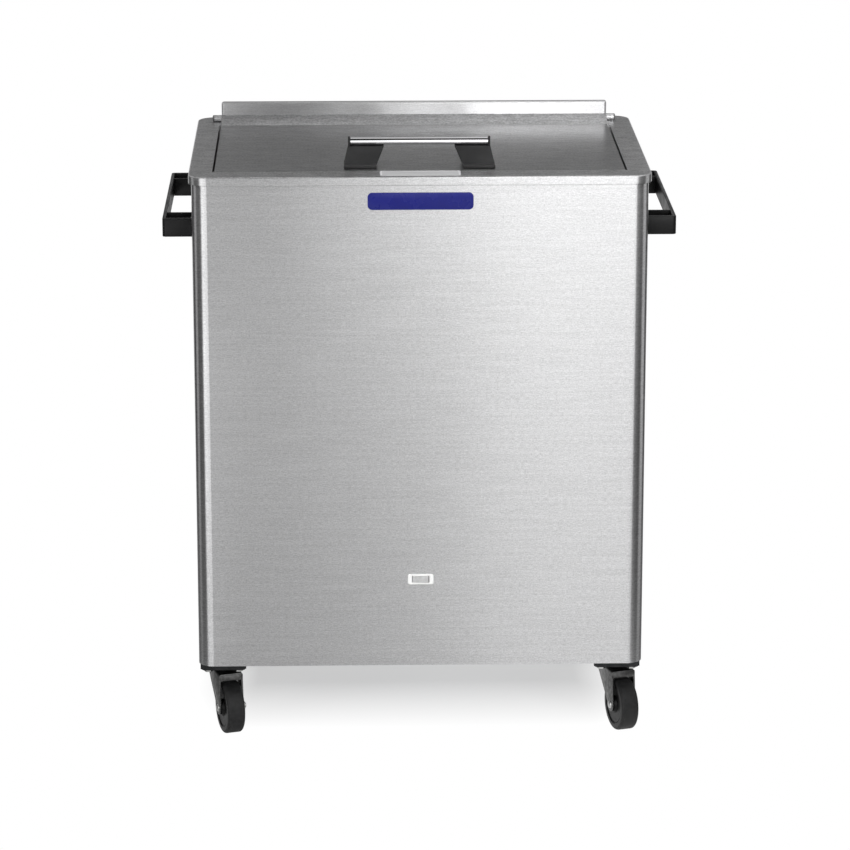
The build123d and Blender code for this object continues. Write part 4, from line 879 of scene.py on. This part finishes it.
# Thermostat knob: fluted rim, flat face and a raised pointer of (width, length, height)
knob = {
    "flutes": 30, "fluteDepth": 0.0011, "radius": 0.016, "faceRadius": 0.01536, "height": 0.0112,
    "rimAngle": 50, "edge": 0.0008, "pointer": (0.0026, 0.0145, 0.0008), "pointerStart": 0.001,
    "pointerSink": 0.002, "pointerEdge": 0.0004, "paintFrom": 0.0001,
    "shaftRadius": 0.003, "shaftLength": 0.02, "shaftSink": 0.001, "shaftSides": 24,
}


def makeKnob():
    # modelled with its face up, then turned to face the rear
    low, high = boxOf("thermostat_knob")
    top = knob["height"] / 2
    shape = bmesh.new()
    body = rod(
        shape, knob["radius"], knob["height"], knob["flutes"] * 4, Matrix.Identity(4), knob["faceRadius"],
    )
    for vert in body:
        turn = math.atan2(vert.co.y, vert.co.x)
        hollow = 0.5 + 0.5 * math.cos(knob["flutes"] * turn)
        vert.co.xy *= 1 - knob["fluteDepth"] / knob["radius"] * hollow
    rim = [edge for edge in sharpEdges(shape, knob["rimAngle"]) if edge.verts[0].co.z > 0]
    soften(shape, rim, knob["edge"], 3)
    wide, long, tall = knob["pointer"]
    pointer = block(
        shape, (-wide / 2, -long, top - knob["pointerSink"]), (wide / 2, -knob["pointerStart"], top + tall),
    )
    soften(shape, edgesOf(pointer), knob["pointerEdge"])
    shaftAt = (0, 0, -top - knob["shaftLength"] / 2 + knob["shaftSink"])
    rod(shape, knob["shaftRadius"], knob["shaftLength"], knob["shaftSides"], Matrix.Translation(shaftAt))
    for face in shape.faces:
        face.material_index = int(face.calc_center_median().z > top + knob["paintFrom"])
    middle = ((low.x + high.x) / 2, high.y - tall - top, (low.z + high.z) / 2)
    placeAll(shape, Matrix.Translation(middle) @ quarterTurn("X", -1))
    meshPiece(
        "thermostatKnob", shape, "blackPlastic", "knob", "thermostat_knob",
        sharpAngle=40, second="whitePlastic",
    )


makeKnob()
print("knob made")


# Floor rack: one bent frame wire with bars welded under its middle line
rack = {"wire": 0.0025, "wireSides": 12, "bars": 13, "bend": 0.012, "bendSteps": 6}


def bentLoop(shape, low, high, z):
    # a round wire bent to a closed rectangle with rounded corners
    bend = rack["bend"]
    left, right, front, rear = low.x + bend, high.x - bend, low.y + bend, high.y - bend
    section = bmesh.ops.create_circle(
        shape, segments=rack["wireSides"], radius=rack["wire"],
        matrix=Matrix.Translation((left, low.y, z)) @ quarterTurn("Y"),
    )["verts"]
    loop = edgesOf(section)
    runs = ((right - left, 0), (0, rear - front), (left - right, 0), (0, front - rear))
    centres = ((right, front), (right, rear), (left, rear), (left, front))
    for run, centre in zip(runs, centres):
        verts, loop = extrudeLoop(shape, loop)
        bmesh.ops.translate(shape, vec=(*run, 0), verts=verts)
        made = bmesh.ops.spin(
            shape, geom=loop, cent=(*centre, z), axis=(0, 0, 1), dvec=(0, 0, 0),
            angle=math.radians(90), steps=rack["bendSteps"], use_merge=False, use_duplicate=False,
        )["geom_last"]
        loop = [item for item in made if isinstance(item, bmesh.types.BMEdge)]
    bmesh.ops.remove_doubles(shape, verts=shape.verts, dist=2e-5)


def makeRack():
    low, high = boxOf("floor_rack")
    middle = (low + high) / 2
    wire = rack["wire"]
    inset = Vector((wire, wire, 0))
    shape = bmesh.new()
    bentLoop(shape, low + inset, high - inset, middle.z)
    pitch = (high.x - low.x) / (rack["bars"] + 1)
    length = high.y - low.y - 2 * wire
    for step in range(rack["bars"]):
        place = Matrix.Translation((low.x + pitch * (step + 1), middle.y, middle.z))
        rod(shape, wire, length, rack["wireSides"], place @ quarterTurn("X"))
    meshPiece("floorRack", shape, "zinc", "cabinet", "floor_rack")


makeRack()
print("rack made")


# Camera, at the photo's angle
camera = {
    "lens": 155.1, "sensor": 36.0, "place": (-0.117, -5.226, 1.849), "down": 15.38, "turn": -1.41,
}


def makeCamera():
    lens = bpy.data.cameras.new("photoCamera")
    lens.lens = camera["lens"]
    lens.sensor_width = camera["sensor"]
    item = bpy.data.objects.new("photoCamera", lens)
    item.location = camera["place"]
    item.rotation_euler = (math.radians(90 - camera["down"]), 0, math.radians(camera["turn"]))
    bpy.context.scene.collection.objects.link(item)
    bpy.context.scene.camera = item


makeCamera()
print("camera placed")


# Floor and world. Seen directly both are white, and a painted shadow fade in the glow lets the lamps' shadow
# show under the object
floor = {
    "size": 40.0, "tone": 0.93, "variation": 0.01, "patch": 1.5, "roughness": 0.9, "nearGlow": 0.45,
    "shadeCentre": (0, 0.115, 0), "shadeHalf": (0.24, 0.085, 0), "shadeFade": (0.09, 0.20, 1),
}
sky = {"ambient": 0.5, "colour": (1, 1, 1, 1)}


def stageMesh(name, shape, finish):
    mesh = bpy.data.meshes.new(name)
    shape.to_mesh(mesh)
    shape.free()
    mesh.materials.append(finish)
    item = bpy.data.objects.new(name, mesh)
    bpy.context.scene.collection.objects.link(item)
    return item


def seenDirectly(tree):
    # 1 for rays that look at a surface, in the lens, a mirror or glass
    path = addNode(tree, "ShaderNodeLightPath")
    both = combine(tree, "MAXIMUM", path.outputs["Is Camera Ray"], path.outputs["Is Glossy Ray"])
    return combine(tree, "MAXIMUM", both, path.outputs["Is Transmission Ray"])


def makeFloor():
    finish, tree, shader = newFinish("paleFloor")
    shader.inputs["Roughness"].default_value = floor["roughness"]
    shader.inputs["Specular IOR Level"].default_value = 0.0
    patch = cloud(tree, [floor["patch"]] * 3, detail=2.0)
    dark, pale = [[floor["tone"] + shift] * 3 for shift in (-floor["variation"], floor["variation"])]
    tree.links.new(blendColours(tree, patch, dark, pale), shader.inputs["Base Color"])
    # painted shadow fade: the glow share drops in a box under and behind the object, so the lamps' shadow
    # shows there and fades out by shadeHalf and shadeFade
    flow = addNode(tree, "ShaderNodeTexCoord").outputs["Object"]
    for operation, amount in (
        ("SUBTRACT", floor["shadeCentre"]), ("ABSOLUTE", None), ("SUBTRACT", floor["shadeHalf"]),
        ("MAXIMUM", (0, 0, 0)), ("DIVIDE", floor["shadeFade"]), ("LENGTH", None),
    ):
        step = addNode(tree, "ShaderNodeVectorMath", operation=operation)
        tree.links.new(flow, step.inputs[0])
        if amount:
            step.inputs[1].default_value = amount
        flow = step.outputs["Value" if operation == "LENGTH" else "Vector"]
    glowShare = spread(tree, flow, floor["nearGlow"], 1.0, 0.0, 1.0)
    glow = addNode(tree, "ShaderNodeEmission")
    mix = addNode(tree, "ShaderNodeMixShader")
    tree.links.new(combine(tree, "MULTIPLY", seenDirectly(tree), glowShare), mix.inputs["Fac"])
    tree.links.new(shader.outputs["BSDF"], mix.inputs[1])
    tree.links.new(glow.outputs["Emission"], mix.inputs[2])
    tree.links.new(mix.outputs["Shader"], tree.nodes["Material Output"].inputs["Surface"])
    shape = bmesh.new()
    bmesh.ops.create_grid(shape, x_segments=1, y_segments=1, size=floor["size"] / 2)
    stageMesh("studioFloor", shape, finish)


def makeWorld():
    world = bpy.data.worlds.new("studioWorld")
    bpy.context.scene.world = world
    world.use_nodes = True
    background = world.node_tree.nodes["Background"]
    level = combine(world.node_tree, "MAXIMUM", seenDirectly(world.node_tree), sky["ambient"])
    world.node_tree.links.new(level, background.inputs["Strength"])
    background.inputs["Color"].default_value = sky["colour"]


makeFloor()
makeWorld()
print("floor and world made")


# Pale and dark cards round and over the object, which show only in its gloss. The ring's tones go by
# azimuth, 0 in front and 90 at the right, in four heights that blend at steps. The card's go by x
cards = {
    "radius": 1.4, "ringHeight": 2.3, "sides": 96, "steps": ((0.80, 0.98), (1.06, 1.22), (1.40, 1.56)),
    "low": (
        (-172, 0.85), (-156, 0.62), (-136, 0.60), (-124, 0.05), (-103, 0.05), (-96, 0.48), (-84, 0.48),
        (-78, 0.06), (-52, 0.07), (-44, 2.3), (-22, 2.1), (-16, 0.92), (-9, 0.82), (-4, 0.78), (1, 0.76),
        (4, 0.84), (6.5, 1.08), (9, 1.24), (16, 1.2), (24, 1.4), (31, 1.3), (36, 0.36), (46, 0.14),
        (60, 0.05), (72, 0.05), (79, 0.66), (99, 0.66), (105, 0.05), (124, 0.05), (136, 0.60),
        (156, 0.80), (172, 1.00),
    ),
    "band": (
        (-165, 0.18), (-150, 0.42), (-112, 0.40), (-78, 0.40), (-52, 0.45), (-44, 1.0), (-24, 0.5),
        (-19, 0.06), (-14, 0.05), (-11, 0.26), (-8, 0.95), (-4, 2.7), (0, 4.4), (4, 5.4), (16, 5.7),
        (30, 4.6), (38, 0.60), (72, 0.40), (112, 0.40), (150, 0.40), (165, 0.14),
    ),
    "top": (
        (-165, 0.18), (-150, 0.42), (-112, 0.50), (-78, 0.52), (-50, 0.60), (-25, 0.36), (-12, 0.30),
        (-4, 0.80), (4, 1.05), (30, 1.05), (55, 0.70), (78, 0.55), (112, 0.50), (150, 0.40), (165, 0.14),
    ),
    "high": (
        (-160, 0.18), (-120, 0.50), (-70, 0.60), (-45, 0.55), (-25, 0.28), (-12, 0.22), (-4, 0.65),
        (5, 1.2), (45, 1.2), (70, 0.70), (120, 0.50), (160, 0.14),
    ),
    "card": (
        (-0.70, 0.20), (-0.46, 0.20), (-0.40, 0.58), (-0.33, 0.56), (-0.28, 0.44), (0.0, 0.60),
        (0.12, 0.78), (0.33, 0.84), (0.42, 0.72), (0.50, 0.20), (0.70, 0.20),
    ),
    "cardHeight": 0.0015,
    "ceilingFront": (0.46, 0.75), "ceilingRear": (0.38, 0.80), "ceilingReach": 0.4, "ceilingDepth": 0.3,
    "flagLow": (-0.125, -0.295, 0.990), "flagHigh": (0.125, -0.155, 0.994), "flagTone": (0.015, 0.025),
    "flagPatch": 0.1,
}


def toneRamp(tree, turn, stops):
    ramp = addNode(tree, "ShaderNodeValToRGB")
    bar = ramp.color_ramp
    while len(bar.elements) < len(stops):
        bar.elements.new(1.0)
    for element, (place, tone) in zip(bar.elements, stops):
        element.position = place
        element.color = (tone, tone, tone, 1)
    tree.links.new(turn, ramp.inputs["Fac"])
    return ramp.outputs["Color"]


def objectAxes(tree):
    place = addNode(tree, "ShaderNodeTexCoord").outputs["Object"]
    parts = addNode(tree, "ShaderNodeSeparateXYZ")
    tree.links.new(place, parts.inputs["Vector"])
    return place, parts.outputs


def glowCard(name, shape, finish, tree, source, socket):
    # a card that glows by source, as the emission's Color or Strength
    glow = addNode(tree, "ShaderNodeEmission")
    tree.links.new(source, glow.inputs[socket])
    tree.links.new(glow.outputs["Emission"], tree.nodes["Material Output"].inputs["Surface"])
    item = stageMesh(name, shape, finish)
    item.visible_camera = False
    item.visible_diffuse = False
    item.visible_shadow = False
    item.visible_transmission = False


def disc(height):
    shape = bmesh.new()
    bmesh.ops.create_circle(
        shape, cap_ends=True, segments=cards["sides"], radius=cards["radius"],
        matrix=Matrix.Translation((0, 0, height)),
    )
    return shape


def makeRing():
    finish, tree = newFinish("ringTones")[:2]
    place, axes = objectAxes(tree)
    turn = addNode(tree, "ShaderNodeTexGradient", gradient_type="RADIAL")
    tree.links.new(place, turn.inputs["Vector"])
    levels = []
    for zone in ("low", "band", "top", "high"):
        stops = sorted((((azimuth + 90) / 360) % 1, tone) for azimuth, tone in cards[zone])
        levels.append(toneRamp(tree, turn.outputs["Fac"], stops))
    tones = levels[0]
    for step, level in zip(cards["steps"], levels[1:]):
        tones = blendColours(tree, spread(tree, axes["Z"], 0, 1, *step), tones, level)
    radius, height = cards["radius"], cards["ringHeight"]
    shape = bmesh.new()
    bmesh.ops.create_cone(shape, segments=cards["sides"], radius1=radius, radius2=radius, depth=height)
    bmesh.ops.translate(shape, vec=(0, 0, height / 2), verts=shape.verts)
    glowCard("reflectionRing", shape, finish, tree, tones, "Color")


def makeCeiling():
    # front and rear tones each go from left to right, and blend from the middle to the rear
    finish, tree = newFinish("ceilingTone")[:2]
    axes = objectAxes(tree)[1]
    reach = cards["ceilingReach"]
    front = spread(tree, axes["X"], *cards["ceilingFront"], -reach, reach)
    rear = spread(tree, axes["X"], *cards["ceilingRear"], -reach, reach)
    share = spread(tree, axes["Y"], 0, 1, 0.0, cards["ceilingDepth"])
    more = combine(tree, "MULTIPLY", share, combine(tree, "SUBTRACT", rear, front))
    tone = combine(tree, "ADD", front, more)
    glowCard("reflectionCeiling", disc(cards["ringHeight"]), finish, tree, tone, "Strength")


def makeFlag():
    # a dark strip over the lid handle, for the dark line along its chrome bar
    finish, tree = newFinish("flagTone")[:2]
    tone = spread(tree, cloud(tree, [cards["flagPatch"]] * 3, detail=2.0), *cards["flagTone"])
    shape = bmesh.new()
    block(shape, cards["flagLow"], cards["flagHigh"])
    glowCard("reflectionFlag", shape, finish, tree, tone, "Strength")


def makeCard():
    # a low card in front of and under the object, whose tones go from left to right
    finish, tree = newFinish("cardTones")[:2]
    radius = cards["radius"]
    across = spread(tree, objectAxes(tree)[1]["X"], 0, 1, -radius, radius)
    tones = toneRamp(tree, across, [((x + radius) / (2 * radius), tone) for x, tone in cards["card"]])
    glowCard("reflectionCard", disc(cards["cardHeight"]), finish, tree, tones, "Color")


makeRing()
makeCeiling()
makeFlag()
makeCard()
print("reflection cards made")


# Soft lamps, which show in no reflection: place, the point they aim at, width and height, power
lamps = {
    "topSoftbox": ((0, -0.3, 3.6), (0, 0, 0), (3.0, 3.0), 95),
    "rightSoftbox": ((2.2, -3.4, 1.4), (0, -0.2, 0.5), (1.3, 1.8), 28),
    "leftSoftbox": ((-2.6, -2.4, 1.1), (0, 0, 0.5), (0.5, 1.8), 16),
}


def makeLamp(name, place, aim, size, power):
    lamp = bpy.data.lights.new(name, "AREA")
    lamp.shape = "RECTANGLE"
    lamp.size, lamp.size_y = size
    lamp.energy = power
    item = bpy.data.objects.new(name, lamp)
    item.location = place
    item.rotation_euler = (Vector(aim) - Vector(place)).to_track_quat("-Z", "Y").to_euler()
    item.visible_camera = False
    item.visible_glossy = False
    bpy.context.scene.collection.objects.link(item)


for name, lamp in lamps.items():
    makeLamp(name, *lamp)
bpy.context.scene.view_settings.view_transform = "Standard"
print("studio ready")
